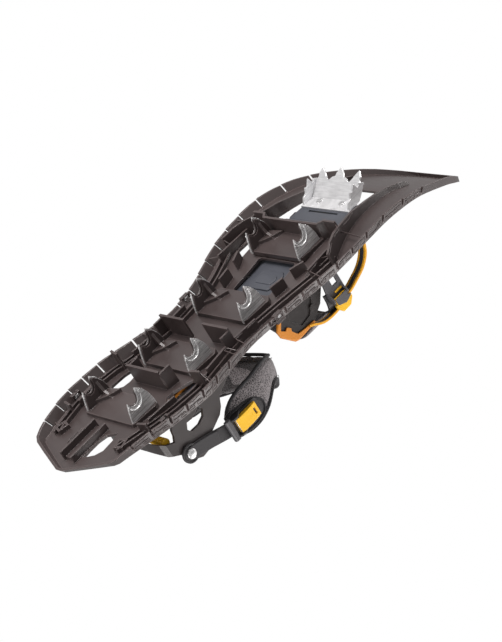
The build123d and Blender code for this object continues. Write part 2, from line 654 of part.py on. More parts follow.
toe_line = [(119.5, 39.0), (119.5, 56.0), (116.0, 70.0), (111.0, 79.0), (100.0, 87.5), (86.0, 93.0), (72.0, 97.0), (61.0, 97.0)]
for sgn, side in ((1, "left"), (-1, "right")):
    with BuildPart() as toe_strap:
        with BuildSketch(side_plane(sgn * 52.0)):
            with BuildLine():
                Polyline(*(toe_line + list(reversed(inset(toe_line, -2.4)))), close=True)
            make_face()
        extrude(amount=12.0 * sgn)
        # foot of the strap, looped under its keeper
        with BuildSketch(side_plane(sgn * 52.0)):
            with BuildLine():
                Polyline((112.0, 39.0), (121.5, 39.0), (121.5, 42.0), (112.0, 42.0), close=True)
            make_face()
        extrude(amount=16.0 * sgn)
        # the strap runs inside the arch of the instep strap
        with BuildSketch(Plane.XY.offset(60.0)):
            with Locations((48.0, sgn * 47.0)):
                Rectangle(21.0, 40.0)
        extrude(amount=60.0, mode=Mode.SUBTRACT)
    save(toe_strap, "toe_strap_" + side)

# ratchet buckle of the instep strap, on the outer side
pin_y, pin_z, pin_r = 58.4, 86.0, 1.6
with BuildPart() as ratchet_base:
    with BuildSketch(side_plane(55.2)):
        with BuildLine():
            Polyline((47.0, 60.0), (64.0, 62.0), (65.0, 89.0), (42.5, 89.0), (42.5, 78.0), close=True)
        make_face()
        with Locations((54.0, 73.0)):
            Rectangle(6.0, 6.0, mode=Mode.SUBTRACT)
    extrude(amount=2.4)
    for x0 in (42.5, 62.5):
        with BuildSketch(cross_plane(x0)):
            with BuildLine():
                Polyline((55.2, 76.0), (58.0, 82.0), (61.0, 85.0), (61.0, 88.0), (58.0, 89.0), (55.2, 89.0), close=True)
            make_face()
            with Locations((pin_y, pin_z)):
                Circle(pin_r + pivot_clear, mode=Mode.SUBTRACT)
        extrude(amount=2.5)
save(ratchet_base, "ratchet_base")

with BuildPart() as ratchet_lever:
    with BuildSketch(cross_plane(45.4)):
        with BuildLine():
            Polyline((56.6, 86.0), (56.4, 94.0), (57.5, 103.0), (60.5, 102.6), (61.4, 92.0), (60.8, 84.6), (59.0, 83.6), close=True)
        make_face()
        with Locations((pin_y, pin_z)):
            Circle(2.6)
    extrude(amount=16.7)
    with BuildSketch(cross_plane(42.6)):
        with Locations((pin_y, pin_z)):
            Circle(pin_r)
    extrude(amount=22.3)
    # the upper rear corner is cut back, following the strap
    with BuildSketch(side_plane(64.0)):
        with BuildLine():
            Polyline((45.0, 91.0), (45.0, 104.0), (50.5, 104.0), close=True)
        make_face()
    extrude(amount=12.0, mode=Mode.SUBTRACT)
save(ratchet_lever, "ratchet_lever")

# ------------------------------------------------------------------ heel carriage
cup_holes = [(-116.0, 41.0), (-100.0, 41.0), (-116.0, -41.0), (-100.0, -41.0)]
latch_x, latch_z, latch_r = -90.0, 56.4, 1.8
with BuildPart() as heel_slide:
    with BuildSketch(Plane.XY.offset(bed_z)):
        with BuildLine():
            Polyline((-150, 34), (-144, 46), (-128, 50), (-100, 50), (-95, 46), (-95, -46), (-100, -50), (-128, -50), (-144, -46), (-150, -34), close=True)
        make_face()
        with Locations(*cup_holes):
            Circle(2.2, mode=Mode.SUBTRACT)
    extrude(amount=bed_t)
    with BuildSketch(Plane.XY.offset(top - 1.0)):
        with Locations((-103.5, 0)):
            Rectangle(17.0, 49.0)
    extrude(amount=1.6)
    with BuildSketch(Plane.XY.offset(top + 0.3)):
        with BuildLine():
            Polyline((-112, 24.5), (0, 24.5), (4, 20.5), (4, -20.5), (0, -24.5), (-112, -24.5), close=True)
        make_face()
        with Locations((-32, 0)):
            SlotOverall(44.0, 7.0, mode=Mode.SUBTRACT)
    extrude(amount=3.0)
    # the tongue is lower under the latch
    with BuildSketch(Plane.XY.offset(top + 2.7)):
        with Locations((-88.5, 0)):
            Rectangle(49.0, 60.0)
    extrude(amount=2.0, mode=Mode.SUBTRACT)
    for sgn in (1, -1):
        with BuildSketch(side_plane(sgn * 17.0)):
            with BuildLine():
                Polyline((-96, top + 2.5), (-84, top + 2.5), (-86.5, 59), (-93.5, 59), close=True)
            make_face()
            with Locations((latch_x, latch_z)):
                Circle(latch_r + pivot_clear, mode=Mode.SUBTRACT)
        extrude(amount=3.0 * sgn)
save(heel_slide, "heel_slide")

with BuildPart() as size_latch:
    with BuildSketch(side_plane(13.4)):
        with BuildLine():
            Polyline((-92.0, 54.6), (-88.6, 53.6), (-70.0, 53.6), (-66.0, 54.6), (-66.0, 56.6), (-84.0, 58.4), (-92.0, 58.4), close=True)
        make_face()
    extrude(amount=26.8)
    with BuildSketch(side_plane(16.9)):
        with Locations((latch_x, latch_z)):
            Circle(latch_r)
    extrude(amount=33.8)
save(size_latch, "size_latch")

cup_z = top + 0.3
cup_profile = [(-86, cup_z), (-88, 53), (-98, 61), (-112, 67), (-121, 72), (-126, 82), (-132, 88), (-146, 94), (-155, 98), (-162, 108), (-172, 109),
               (-180, 105), (-187, 100), (-191, 89), (-203, 82), (-209, 74), (-212.6, 68), (-212.6, 56), (-208, 62), (-200, 68.5), (-190, 73),
               (-187, 67), (-186, 61), (-181, 53), (-178, cup_z)]
with BuildPart() as heel_cup:
    with BuildSketch(Plane.XY.offset(cup_z)):
        with BuildLine():
            Polyline((-86, 50), *arc_wall(-192, -20.5, 50.0, 2.8), (-86, -50), (-86, -46.4), *reversed(arc_wall(-192, -17.0, 46.4, 2.8)), (-86, 46.4), close=True)
        make_face()
    extrude(amount=62.0)
    with BuildSketch(side_plane(60.0)):
        with BuildLine():
            Polyline(*cup_profile, close=True)
        make_face()
    extrude(amount=120.0, mode=Mode.INTERSECT)
    with BuildSketch(side_plane(60.0)):
        with BuildLine():
            Polyline((-147, 61.5), (-144.5, 68), (-148.5, 75), (-157, 78.5), (-168, 78), (-171, 73), (-167.5, 66.5), (-160, 67.5), (-153, 65), close=True)
        make_face()
        with Locations((rivet_x, rivet_z)):
            Circle(3.0)
    extrude(amount=120.0, mode=Mode.SUBTRACT)
    with BuildSketch(Plane.XY.offset(cup_z)):
        for sgn in (1, -1):
            with BuildLine():
                Polyline((-126, sgn * 47), (-124, sgn * 36), (-94, sgn * 36), (-90, sgn * 47), close=True)
            make_face()
        with Locations(*cup_holes):
            Circle(2.2, mode=Mode.SUBTRACT)
    extrude(amount=2.4)
save(heel_cup, "heel_cup")

with BuildPart() as cup_rivets:
    for sx, sy in cup_holes:
        with BuildSketch(Plane.XY.offset(bed_z + 0.2)):
            with Locations((sx, sy)):
                Circle(2.2)
        extrude(amount=bed_t + 2.5)
        with BuildSketch(Plane.XY.offset(cup_z + 2.4)):
            with Locations((sx, sy)):
                Circle(3.8)
        extrude(amount=1.4)
save(cup_rivets, "cup_rivets")

with BuildPart() as heel_pad:
    with BuildSketch(Plane.XY.offset(bed_z - 2.6)):
        with BuildLine():
            Polyline((-126, 36), (-126, -36), (-157, -36.5), (-161.5, -33), (-161.5, -29), (-151, -28), (-149, -20), (-149, 20), (-151, 28), (-161.5, 29), (-161.5, 33), (-157, 36.5), close=True)
        make_face()
    extrude(amount=2.6)
save(heel_pad, "heel_pad")

with BuildPart() as strap_rivets:
    for sgn in (1, -1):
        for y0, length, r in ((44.6, 1.8, 5.6), (46.4, 7.2, 3.0), (53.6, 1.6, 5.6)):
            with BuildSketch(side_plane(sgn * (y0 + length))):
                with Locations((rivet_x, rivet_z)):
                    Circle(r)
            extrude(amount=length * sgn)
save(strap_rivets, "strap_rivets")

# ------------------------------------------------------------------ ankle strap
cuff_u = (0.976, 0, 0.2178)
cuff_n = (-0.2178, 0, 0.976)
cuff_h = 24.0
cuff_o = (-38.0 + cuff_h * 0.2178, 0, 125.0 - cuff_h * 0.976)
with BuildPart() as ankle_cuff:
    with BuildSketch(Plane(origin=cuff_o, x_dir=cuff_u, z_dir=cuff_n)):
        with BuildLine():
            Polyline((-75, 50), *arc_wall(-32, 36.5, 50.0), (-75, -50), (-75, -41.5), *reversed(arc_wall(-32, 28.5, 41.5)), (-75, 41.5), close=True)
        make_face()
    extrude(amount=2 * cuff_h)
save(ankle_cuff, "ankle_cuff")

web = {"left": [(rivet_x, rivet_z), (-160.0, 99.5), (-136.0, 107.0), (-118.0, 111.0)],
       "right": [(rivet_x, rivet_z), (-160.0, 99.5), (-136.0, 107.0), (-96.0, 114.0)]}
for sgn, side in ((1, "left"), (-1, "right")):
    with BuildPart() as ankle_web:
        with BuildSketch(side_plane(sgn * 53.3)):
            with BuildLine():
                Polyline(*(inset(web[side], -8.6) + list(reversed(inset(web[side], 8.6)))), close=True)
            make_face()
            with Locations((rivet_x, rivet_z)):
                Circle(8.6)
            with Locations((rivet_x, rivet_z)):
                Circle(3.0 + pivot_clear, mode=Mode.SUBTRACT)
        extrude(amount=2.9 * sgn)
    save(ankle_web, "ankle_web_" + side)

hx, hy = -124.5, 59.0
with BuildPart() as buckle_base:
    with BuildSketch(side_plane(56.2)):
        with BuildLine():
            Polyline((-129.5, 98.0), (-93.0, 98.0), (-91.0, 101.0), (-91.0, 115.0), (-93.0, 118.0), (-129.5, 118.0), close=True)
        make_face()
    extrude(amount=2.5)
    for z0 in (96.6, 117.0):
        with BuildSketch(Plane.XY.offset(z0)):
            with BuildLine():
                Polyline((-129.5, 53.7), (-129.5, 59.5), (-127.5, 61.6), (-121.5, 61.6), (-119.0, 59.0), (-112.0, 56.2), (-112.0, 53.7), close=True)
            make_face()
            with Locations((hx, hy)):
                Circle(1.6 + pivot_clear, mode=Mode.SUBTRACT)
        extrude(amount=2.4)
save(buckle_base, "ankle_buckle_base")

with BuildPart() as buckle_lever:
    with BuildSketch(Plane.XY.offset(99.6)):
        with BuildLine():
            Polyline((-126.0, 57.6), (-124.0, 56.8), (-112.0, 56.7), (-97.0, 57.0), (-95.6, 58.6), (-97.0, 60.4), (-112.0, 61.4), (-125.0, 61.2), close=True)
        make_face()
        with Locations((hx, hy)):
            Circle(2.3)
    extrude(amount=16.8)
    with BuildSketch(Plane.XY.offset(96.7)):
        with Locations((hx, hy)):
            Circle(1.6)
    extrude(amount=22.6)
    with BuildSketch(Plane.XY.offset(90.0)):
        with Locations((-107.0, 62.0)):
            Rectangle(10.0, 2.6)
    extrude(amount=30.0, mode=Mode.SUBTRACT)
save(buckle_lever, "ankle_buckle_lever")
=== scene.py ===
import json
import math

import bmesh
import bpy
from mathutils import Matrix, Vector
from mathutils.bvhtree import BVHTree

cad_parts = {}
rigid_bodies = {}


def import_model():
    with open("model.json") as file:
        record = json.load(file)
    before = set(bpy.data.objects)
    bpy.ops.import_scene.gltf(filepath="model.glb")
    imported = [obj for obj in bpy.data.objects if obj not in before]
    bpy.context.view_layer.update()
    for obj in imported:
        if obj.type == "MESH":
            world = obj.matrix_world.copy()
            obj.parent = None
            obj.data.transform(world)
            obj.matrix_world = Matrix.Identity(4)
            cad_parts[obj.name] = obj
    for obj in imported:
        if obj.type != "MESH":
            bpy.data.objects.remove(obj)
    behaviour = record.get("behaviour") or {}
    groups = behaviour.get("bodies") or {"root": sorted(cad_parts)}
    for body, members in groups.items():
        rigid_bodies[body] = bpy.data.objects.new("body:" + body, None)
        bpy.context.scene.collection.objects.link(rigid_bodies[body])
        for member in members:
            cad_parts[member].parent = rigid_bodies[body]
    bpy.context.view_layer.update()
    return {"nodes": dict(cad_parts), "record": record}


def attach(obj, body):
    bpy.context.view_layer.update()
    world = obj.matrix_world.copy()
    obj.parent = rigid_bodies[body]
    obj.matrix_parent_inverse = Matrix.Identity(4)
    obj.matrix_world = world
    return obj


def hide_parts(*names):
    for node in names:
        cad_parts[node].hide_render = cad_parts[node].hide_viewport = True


for o in list(bpy.data.objects):
    bpy.data.objects.remove(o)
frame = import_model()
nodes = frame["nodes"]
scene = bpy.context.scene


# ---------------------------------------------------------------- node helpers
class Mat:
    """A small helper that builds one procedural material."""

    def __init__(self, name):
        self.mat = bpy.data.materials.new(name)
        self.mat.use_nodes = True
        self.nt = self.mat.node_tree
        self.nt.nodes.clear()
        self.out = self.nt.nodes.new("ShaderNodeOutputMaterial")
        self.bsdf = self.nt.nodes.new("ShaderNodeBsdfPrincipled")
        self.nt.links.new(self.bsdf.outputs[0], self.out.inputs[0])
        self.coord = self.nt.nodes.new("ShaderNodeTexCoord").outputs["Object"]

    def n(self, kind, **sockets):
        node = self.nt.nodes.new(kind)
        for key, value in sockets.items():
            self.put(node, key, value)
        return node

    def put(self, node, key, value):
        names = {s.name.replace(" ", "_"): s for s in node.inputs}
        socket = names[key] if key in names else node.inputs[int(key[1:])]
        if isinstance(value, bpy.types.NodeSocket):
            self.nt.links.new(value, socket)
        else:
            socket.default_value = value

    def noise(self, scale, detail=3.0, rough=0.55, vector=None):
        node = self.n("ShaderNodeTexNoise", Scale=scale, Detail=detail, Roughness=rough)
        self.nt.links.new(vector or self.coord, node.inputs["Vector"])
        return node.outputs[0]

    def mapped(self, scale, rotate=(0, 0, 0)):
        node = self.n("ShaderNodeMapping")
        node.inputs["Scale"].default_value = scale
        node.inputs["Rotation"].default_value = rotate
        self.nt.links.new(self.coord, node.inputs["Vector"])
        return node.outputs[0]

    def wave(self, scale, direction="X", distortion=0.0, vector=None):
        node = self.n("ShaderNodeTexWave", Scale=scale, Distortion=distortion)
        node.bands_direction = direction
        self.nt.links.new(vector or self.coord, node.inputs["Vector"])
        return node.outputs[1]

    def ramp(self, value, stops):
        node = self.n("ShaderNodeValToRGB")
        el = node.color_ramp.elements
        while len(el) < len(stops):
            el.new(0.5)
        for e, (at, col) in zip(el, stops):
            e.position = at
            e.color = (*col, 1.0) if len(col) == 3 else col
        self.nt.links.new(value, node.inputs[0])
        return node.outputs[0]

    def map(self, value, lo, hi, a=0.0, b=1.0):
        node = self.n("ShaderNodeMapRange")
        node.inputs[1].default_value, node.inputs[2].default_value = a, b
        node.inputs[3].default_value, node.inputs[4].default_value = lo, hi
        self.nt.links.new(value, node.inputs[0])
        return node.outputs[0]

    def math(self, op, a, b=0.0):
        node = self.n("ShaderNodeMath")
        node.operation = op
        for i, v in enumerate((a, b)):
            if isinstance(v, bpy.types.NodeSocket):
                self.nt.links.new(v, node.inputs[i])
            else:
                node.inputs[i].default_value = v
        return node.outputs[0]

    def mix(self, fac, a, b):
        node = self.n("ShaderNodeMix")
        node.data_type = "RGBA"
        for socket, v in ((node.inputs[0], fac), (node.inputs[6], a), (node.inputs[7], b)):
            if isinstance(v, bpy.types.NodeSocket):
                self.nt.links.new(v, socket)
            else:
                socket.default_value = v if isinstance(v, float) else (*v, 1.0)
        return node.outputs[2]

    def edge(self, radius, low=0.0, high=0.12):
        """1 on edges, 0 on flats."""
        bevel = self.n("ShaderNodeBevel", Radius=radius)
        bevel.samples = 4
        geo = self.n("ShaderNodeNewGeometry")
        dot = self.n("ShaderNodeVectorMath")
        dot.operation = "DOT_PRODUCT"
        self.nt.links.new(bevel.outputs[0], dot.inputs[0])
        self.nt.links.new(geo.outputs["Normal"], dot.inputs[1])
        inv = self.math("SUBTRACT", 1.0, dot.outputs["Value"])
        return self.map(inv, 0.0, 1.0, low, high)

    def bump(self, parts, bevel=None):
        """parts: (height socket, strength, distance in metres)."""
        normal = None
        if bevel:
            node = self.n("ShaderNodeBevel", Radius=bevel)
            node.samples = 4
            normal = node.outputs[0]
        for height, strength, distance in parts:
            node = self.n("ShaderNodeBump", Strength=strength, Distance=distance)
            self.nt.links.new(height, node.inputs["Height"])
            if normal is not None:
                self.nt.links.new(normal, node.inputs["Normal"])
            normal = node.outputs[0]
        self.nt.links.new(normal, self.bsdf.inputs["Normal"])

    def set(self, **sockets):
        for key, value in sockets.items():
            self.put(self.bsdf, key, value)
        return self


def scaled(col, k):
    return tuple(min(1.0, c * k) for c in col)


def plastic(name, col, rough=0.45, grain=2600.0, edge_wear_and_highlight_gain=1.8, bevel=0.0007, spec=0.5, flow=14.0, dust=0.0):
    m = Mat(name)
    broad = m.noise(flow, 4.0)
    fine = m.noise(grain, 2.0)
    scuff = m.noise(90.0, 6.0, 0.7, m.mapped((1.0, 6.0, 3.0)))
    base = m.mix(m.map(broad, 0.0, 1.0, 0.3, 0.7), scaled(col, 0.86), scaled(col, 1.16))
    base = m.mix(m.map(scuff, 0.0, 0.35, 0.62, 0.8), base, scaled(col, 1.5))
    # lighter along the edges, broken up by the scuff noise: partly rubbed wear, partly painted highlight on the edges
    edge = m.edge(bevel * 1.3)
    base = m.mix(m.math("MULTIPLY", edge, m.map(scuff, 0.25, 0.8)), base, scaled(col, edge_wear_and_highlight_gain))
    m.set(Base_Color=base, Specular_IOR_Level=spec,
          Roughness=m.math("ADD", m.map(broad, rough - 0.05, rough + 0.07, 0.3, 0.7), m.map(scuff, 0.0, 0.1, 0.5, 0.8)))
    m.bump([(fine, 0.22, 0.00012), (scuff, 0.1, 0.0002)], bevel)
    return m.mat


def steel(name, col, rough=0.34, grain=(60.0, 60.0, 900.0), bevel=0.0004, metallic=1.0, mottled=0.2):
    m = Mat(name)
    brush = m.noise(1.0, 4.0, 0.6, m.mapped(grain))
    spots = m.noise(420.0, 5.0, 0.7)
    stain = m.noise(45.0, 4.0)
    base = m.mix(m.map(brush, 0.0, 1.0, 0.35, 0.65), scaled(col, 1.0 - mottled), scaled(col, 1.0 + mottled * 0.6))
    base = m.mix(m.map(stain, 0.0, 0.5, 0.5, 0.75), base, scaled(col, 0.62))
    # lighter along the edges: painted highlight on the edges
    base = m.mix(m.math("MULTIPLY", m.edge(bevel * 1.5), 0.7), base, scaled(col, 1.45))
    m.set(Base_Color=base, Metallic=metallic,
          Roughness=m.math("ADD", m.map(spots, rough - 0.06, rough + 0.1, 0.3, 0.7), m.map(brush, 0.0, 0.08)))
    m.bump([(brush, 0.12, 0.0001), (spots, 0.16, 0.0001)], bevel)
    return m.mat


def webbing(name, col, edge_col=None):
    m = Mat(name)
    over = m.wave(420.0, "X")
    under = m.wave(420.0, "Z")
    weave = m.math("MULTIPLY", over, under)
    fuzz = m.noise(1800.0, 3.0)
    worn = m.noise(60.0, 4.0)
    base = m.mix(m.map(weave, 0.0, 1.0, 0.1, 0.9), scaled(col, 0.55), scaled(col, 1.5))
    base = m.mix(m.map(worn, 0.0, 0.5, 0.55, 0.8), base, scaled(col, 2.0))
    m.set(Base_Color=base, Roughness=m.map(fuzz, 0.72, 0.92), Sheen_Weight=0.25, Sheen_Roughness=0.4, Specular_IOR_Level=0.25)
    m.bump([(weave, 0.5, 0.0003), (fuzz, 0.25, 0.0001)], 0.0006)
    return m.mat


DECK = (0.046, 0.034, 0.033)
mats = {
    "deck_plastic": plastic("deck_plastic", DECK, 0.33, bevel=0.0009, edge_wear_and_highlight_gain=4.2, spec=0.7),
    "plate_plastic": plastic("plate_plastic", (0.05, 0.054, 0.066), 0.36, spec=0.6),
    "binding_plastic": plastic("binding_plastic", (0.043, 0.036, 0.035), 0.36, bevel=0.0008, edge_wear_and_highlight_gain=2.6, spec=0.55),
    "buckle_plastic": plastic("buckle_plastic", (0.085, 0.082, 0.088), 0.36, bevel=0.0005),
    "yellow_plastic": plastic("yellow_plastic", (0.93, 0.5, 0.02), 0.3, edge_wear_and_highlight_gain=1.12, bevel=0.0006),
    "orange_elastomer": plastic("orange_elastomer", (0.68, 0.24, 0.015), 0.42, edge_wear_and_highlight_gain=1.3, bevel=0.0005),
    "strap_elastomer": plastic("strap_elastomer", (0.035, 0.034, 0.036), 0.45, bevel=0.0005),
    "webbing": webbing("webbing", (0.032, 0.031, 0.033)),
    "cuff_fabric": webbing("cuff_fabric", (0.05, 0.05, 0.053)),
    # claw steel: light colour at metallic 0.45 keeps it bright whatever it reflects: partly its own colour, partly
    # painted reflection
    "claw_steel": steel("claw_steel", (0.8, 0.79, 0.79), 0.28, metallic=0.45, mottled=0.42),
    "crampon_steel": steel("crampon_steel", (0.84, 0.84, 0.85), 0.3, metallic=0.75, mottled=0.12),
    "pin_steel": steel("pin_steel", (0.72, 0.72, 0.72), 0.24, metallic=0.9),
}
slot_of = {s["node"]: s["material_slot"] for s in frame["record"]["subparts"]}
for name, obj in nodes.items():
    obj.data.materials.clear()
    obj.data.materials.append(mats[slot_of[name]])

# ---------------------------------------------------------------- camera, light and floor
cam_data = bpy.data.cameras.new("camera")
cam_data.lens = 119.44
cam_data.sensor_width = 36.0
cam_data.clip_start, cam_data.clip_end = 0.05, 50.0
cam = bpy.data.objects.new("camera", cam_data)
scene.collection.objects.link(cam)
right = Vector((0.6453, 0.60869, 0.46162))
down = Vector((-0.64983, 0.11968, 0.75059))
ahead = Vector((0.40163, -0.78433, 0.47277))
basis = Matrix((right, -down, -ahead)).transposed()
cam.matrix_world = Matrix.Translation((-0.9157, 1.74828, -0.98772)) @ basis.to_4x4()
scene.camera = cam

world = bpy.data.worlds.new("world")
scene.world = world
world.use_nodes = True
wt = world.node_tree
wt.nodes.clear()
w_out = wt.nodes.new("ShaderNodeOutputWorld")
w_mix = wt.nodes.new("ShaderNodeMixShader")
w_light = wt.nodes.new("ShaderNodeBackground")
w_seen = wt.nodes.new("ShaderNodeBackground")
w_path = wt.nodes.new("ShaderNodeLightPath")
w_light.inputs[0].default_value = (1.0, 1.0, 1.0, 1.0)
w_light.inputs[1].default_value = 0.42
w_seen.inputs[0].default_value = (1.0, 1.0, 1.0, 1.0)
w_seen.inputs[1].default_value = 1.0
wt.links.new(w_path.outputs["Is Camera Ray"], w_mix.inputs[0])
wt.links.new(w_light.outputs[0], w_mix.inputs[1])
wt.links.new(w_seen.outputs[0], w_mix.inputs[2])
wt.links.new(w_mix.outputs[0], w_out.inputs[0])

floor_mesh = bpy.data.meshes.new("floor")
floor_mesh.from_pydata([(-6, -6, 0), (6, -6, 0), (6, 6, 0), (-6, 6, 0)], [], [(0, 1, 2, 3)])
floor = bpy.data.objects.new("floor", floor_mesh)
floor.location.z = -0.0006
scene.collection.objects.link(floor)
fm = Mat("floor")
spots = fm.noise(3.0, 3.0)
fm.set(Base_Color=fm.mix(spots, (0.78, 0.78, 0.775), (0.83, 0.83, 0.825)), Roughness=fm.map(spots, 0.75, 0.85))
geo = fm.n("ShaderNodeNewGeometry")
clear = fm.n("ShaderNodeBsdfTransparent")
sides = fm.n("ShaderNodeMixShader")
fm.nt.links.new(geo.outputs["Backfacing"], sides.inputs[0])
fm.nt.links.new(fm.bsdf.outputs[0], sides.inputs[1])
fm.nt.links.new(clear.outputs[0], sides.inputs[2])
fm.nt.links.new(sides.outputs[0], fm.out.inputs[0])
floor_mesh.materials.append(fm.mat)
floor.visible_shadow = False
floor.visible_diffuse = False
floor.visible_glossy = False


def softbox(name, towards, distance, size, power, colour=(1.0, 0.965, 0.955)):
    data = bpy.data.lights.new(name, "AREA")
    data.shape = "RECTANGLE"
    data.size, data.size_y = size
    data.energy = power
    data.color = colour
    obj = bpy.data.objects.new(name, data)
    d = Vector(towards).normalized()
    obj.location = d * distance + Vector((0, 0, 0.05))
    obj.rotation_mode = "QUATERNION"
    obj.rotation_quaternion = (-d).to_track_quat("-Z", "Y")
    scene.collection.objects.link(obj)
    return obj


up_img, left_img, back = -down, -right, -ahead
softbox("key", up_img * 1.0 + back * 0.45 + left_img * 0.5, 2.2, (1.3, 1.0), 62.0)
softbox("fill", left_img * 1.0 + back * 0.6 - up_img * 0.2, 2.4, (1.2, 1.6), 20.0)
softbox("rim", right * 1.0 + up_img * 0.5 + ahead * 0.2, 2.4, (1.2, 1.2), 22.0)
softbox("low", right * 0.3 - up_img * 1.0 + back * 0.7, 2.6, (1.6, 1.2), 34.0)
softbox("top", (0.3, 0.5, 1.0), 2.2, (1.6, 1.6), 26.0)
scene.view_settings.view_transform = "Standard"

# ---------------------------------------------------------------- mesh helpers (millimetres in, metres out)
MM = 0.001


def add_mesh(name, verts, faces, mat, body, slot, smooth=True, bevel=0.0, segments=3, subsurf=0, angle=35.0):
    mesh = bpy.data.meshes.new(name)
    mesh.from_pydata([(x * MM, y * MM, z * MM) for x, y, z in verts], [], faces)
    bm = bmesh.new()
    bm.from_mesh(mesh)
    bmesh.ops.remove_doubles(bm, verts=bm.verts, dist=1e-6)
    bmesh.ops.recalc_face_normals(bm, faces=bm.faces)
    bm.to_mesh(mesh)
    bm.free()
    obj = bpy.data.objects.new(name, mesh)
    scene.collection.objects.link(obj)
    mesh.materials.append(mats[mat])
    if smooth:
        mesh.shade_smooth()
    if bevel:
        mod = obj.modifiers.new("bevel", "BEVEL")
        mod.width = bevel * MM
        mod.segments = segments
        mod.limit_method = "ANGLE"
        mod.angle_limit = math.radians(angle)
        mod.harden_normals = True
    if subsurf:
        mod = obj.modifiers.new("subdivision", "SUBSURF")
        mod.levels = mod.render_levels = subsurf
    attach(obj, body)
    return obj


def outline_prism(outline, lo, hi, axis):
    place = {"y": lambda p, t: (p[0], t, p[1]), "x": lambda p, t: (t, p[0], p[1]), "z": lambda p, t: (p[0], p[1], t)}[axis]
    n = len(outline)
    verts = [place(p, lo) for p in outline] + [place(p, hi) for p in outline]
    faces = [tuple(range(n - 1, -1, -1)), tuple(range(n, 2 * n))]
    faces += [(i, (i + 1) % n, n + (i + 1) % n, n + i) for i in range(n)]
    return verts, faces


def prism(name, outline, lo, hi, axis, mat, body, slot, bevel=0.6, segments=3, angle=35.0):
    verts, faces = outline_prism(outline, lo, hi, axis)
    return add_mesh(name, verts, faces, mat, body, slot, bevel=bevel, segments=segments, angle=angle)


def smooth_line(pts, per=6, closed=False):
    """A Catmull-Rom curve through the points."""
    pts = [Vector(p) for p in pts]
    n = len(pts)
    out = []
    for i in range(n if closed else n - 1):
        p0 = pts[(i - 1) % n] if closed or i > 0 else pts[0]
        p1, p2 = pts[i % n], pts[(i + 1) % n]
        p3 = pts[(i + 2) % n] if closed or i + 2 < n else pts[-1]
        for k in range(per):
            t = k / per
            out.append(0.5 * ((2 * p1) + (p2 - p0) * t + (2 * p0 - 5 * p1 + 4 * p2 - p3) * t * t + (3 * p1 - p0 - 3 * p2 + p3) * t ** 3))
    if not closed:
        out.append(pts[-1])
    return out


def side_line(line, half):
    """Outline of a strip of the given half width round a line in a plane."""
    left, rest = [], []
    n = len(line)
    for i, p in enumerate(line):
        a, b = line[max(i - 1, 0)], line[min(i + 1, n - 1)]
        t = (Vector(b) - Vector(a)).normalized()
        left.append((p[0] - t[1] * half, p[1] + t[0] * half))
        rest.append((p[0] + t[1] * half, p[1] - t[0] * half))
    return left + rest[::-1]


def tube_mesh(path, r, sides=10, closed=False):
    path = [Vector(p) for p in path]
    n = len(path)
    verts, faces = [], []
    up = None
    for i, p in enumerate(path):
        a = path[(i - 1) % n] if closed else path[max(i - 1, 0)]
        b = path[(i + 1) % n] if closed else path[min(i + 1, n - 1)]
        t = (b - a).normalized()
        if up is None:
            up = t.orthogonal().normalized()
        up = (up - t * up.dot(t)).normalized()
        side = t.cross(up)
        rr = r[i] if isinstance(r, (list, tuple)) else r
        for k in range(sides):
            ang = 2 * math.pi * k / sides
            verts.append(tuple(p + up * math.cos(ang) * rr + side * math.sin(ang) * rr))
    for i in range(n if closed else n - 1):
        for k in range(sides):
            a0, b0 = i * sides + k, i * sides + (k + 1) % sides
            j = (i + 1) % n
            faces.append((a0, b0, j * sides + (k + 1) % sides, j * sides + k))
    if not closed:
        faces.append(tuple(range(sides - 1, -1, -1)))
        faces.append(tuple((n - 1) * sides + k for k in range(sides)))
    return verts, faces


def tube(name, path, r, mat, body, slot, sides=10, closed=False):
    verts, faces = tube_mesh(path, r, sides, closed)
    return add_mesh(name, verts, faces, mat, body, slot)


def merged(parts):
    verts, faces = [], []
    for v, f in parts:
        k = len(verts)
        verts += v
        faces += [tuple(i + k for i in q) for q in f]
    return verts, faces


def lathe_mesh(profile, centre, axis, sides=28):
    """profile: (distance along the axis, radius) from one end to the other."""
    axis = Vector(axis).normalized()
    u = axis.orthogonal().normalized()
    v = axis.cross(u)
    verts, faces = [], []
    for t, r in profile:
        for k in range(sides):
            ang = 2 * math.pi * k / sides
            verts.append(tuple(Vector(centre) + axis * t + (u * math.cos(ang) + v * math.sin(ang)) * max(r, 0.01)))
    for i in range(len(profile) - 1):
        for k in range(sides):
            faces.append((i * sides + k, i * sides + (k + 1) % sides, (i + 1) * sides + (k + 1) % sides, (i + 1) * sides + k))
    faces.append(tuple(range(sides - 1, -1, -1)))
    faces.append(tuple((len(profile) - 1) * sides + k for k in range(sides)))
    return verts, faces


def stitch_mesh(path, step=2.6, length=1.7, r=0.28):
    """Short raised stitches along a line."""
    pts = [Vector(p) for p in path]
    parts, carry = [], 0.0
    for a, b in zip(pts, pts[1:]):
        seg = (b - a).length
        if seg < 1e-6:
            continue
        d = (b - a) / seg
        t = carry
        while t < seg:
            p = a + d * t
            parts.append(tube_mesh([p - d * length * 0.5, p - d * length * 0.3, p + d * length * 0.3, p + d * length * 0.5], [r * 0.4, r, r, r * 0.4], 6))
            t += step
        carry = t - seg
    return merged(parts)


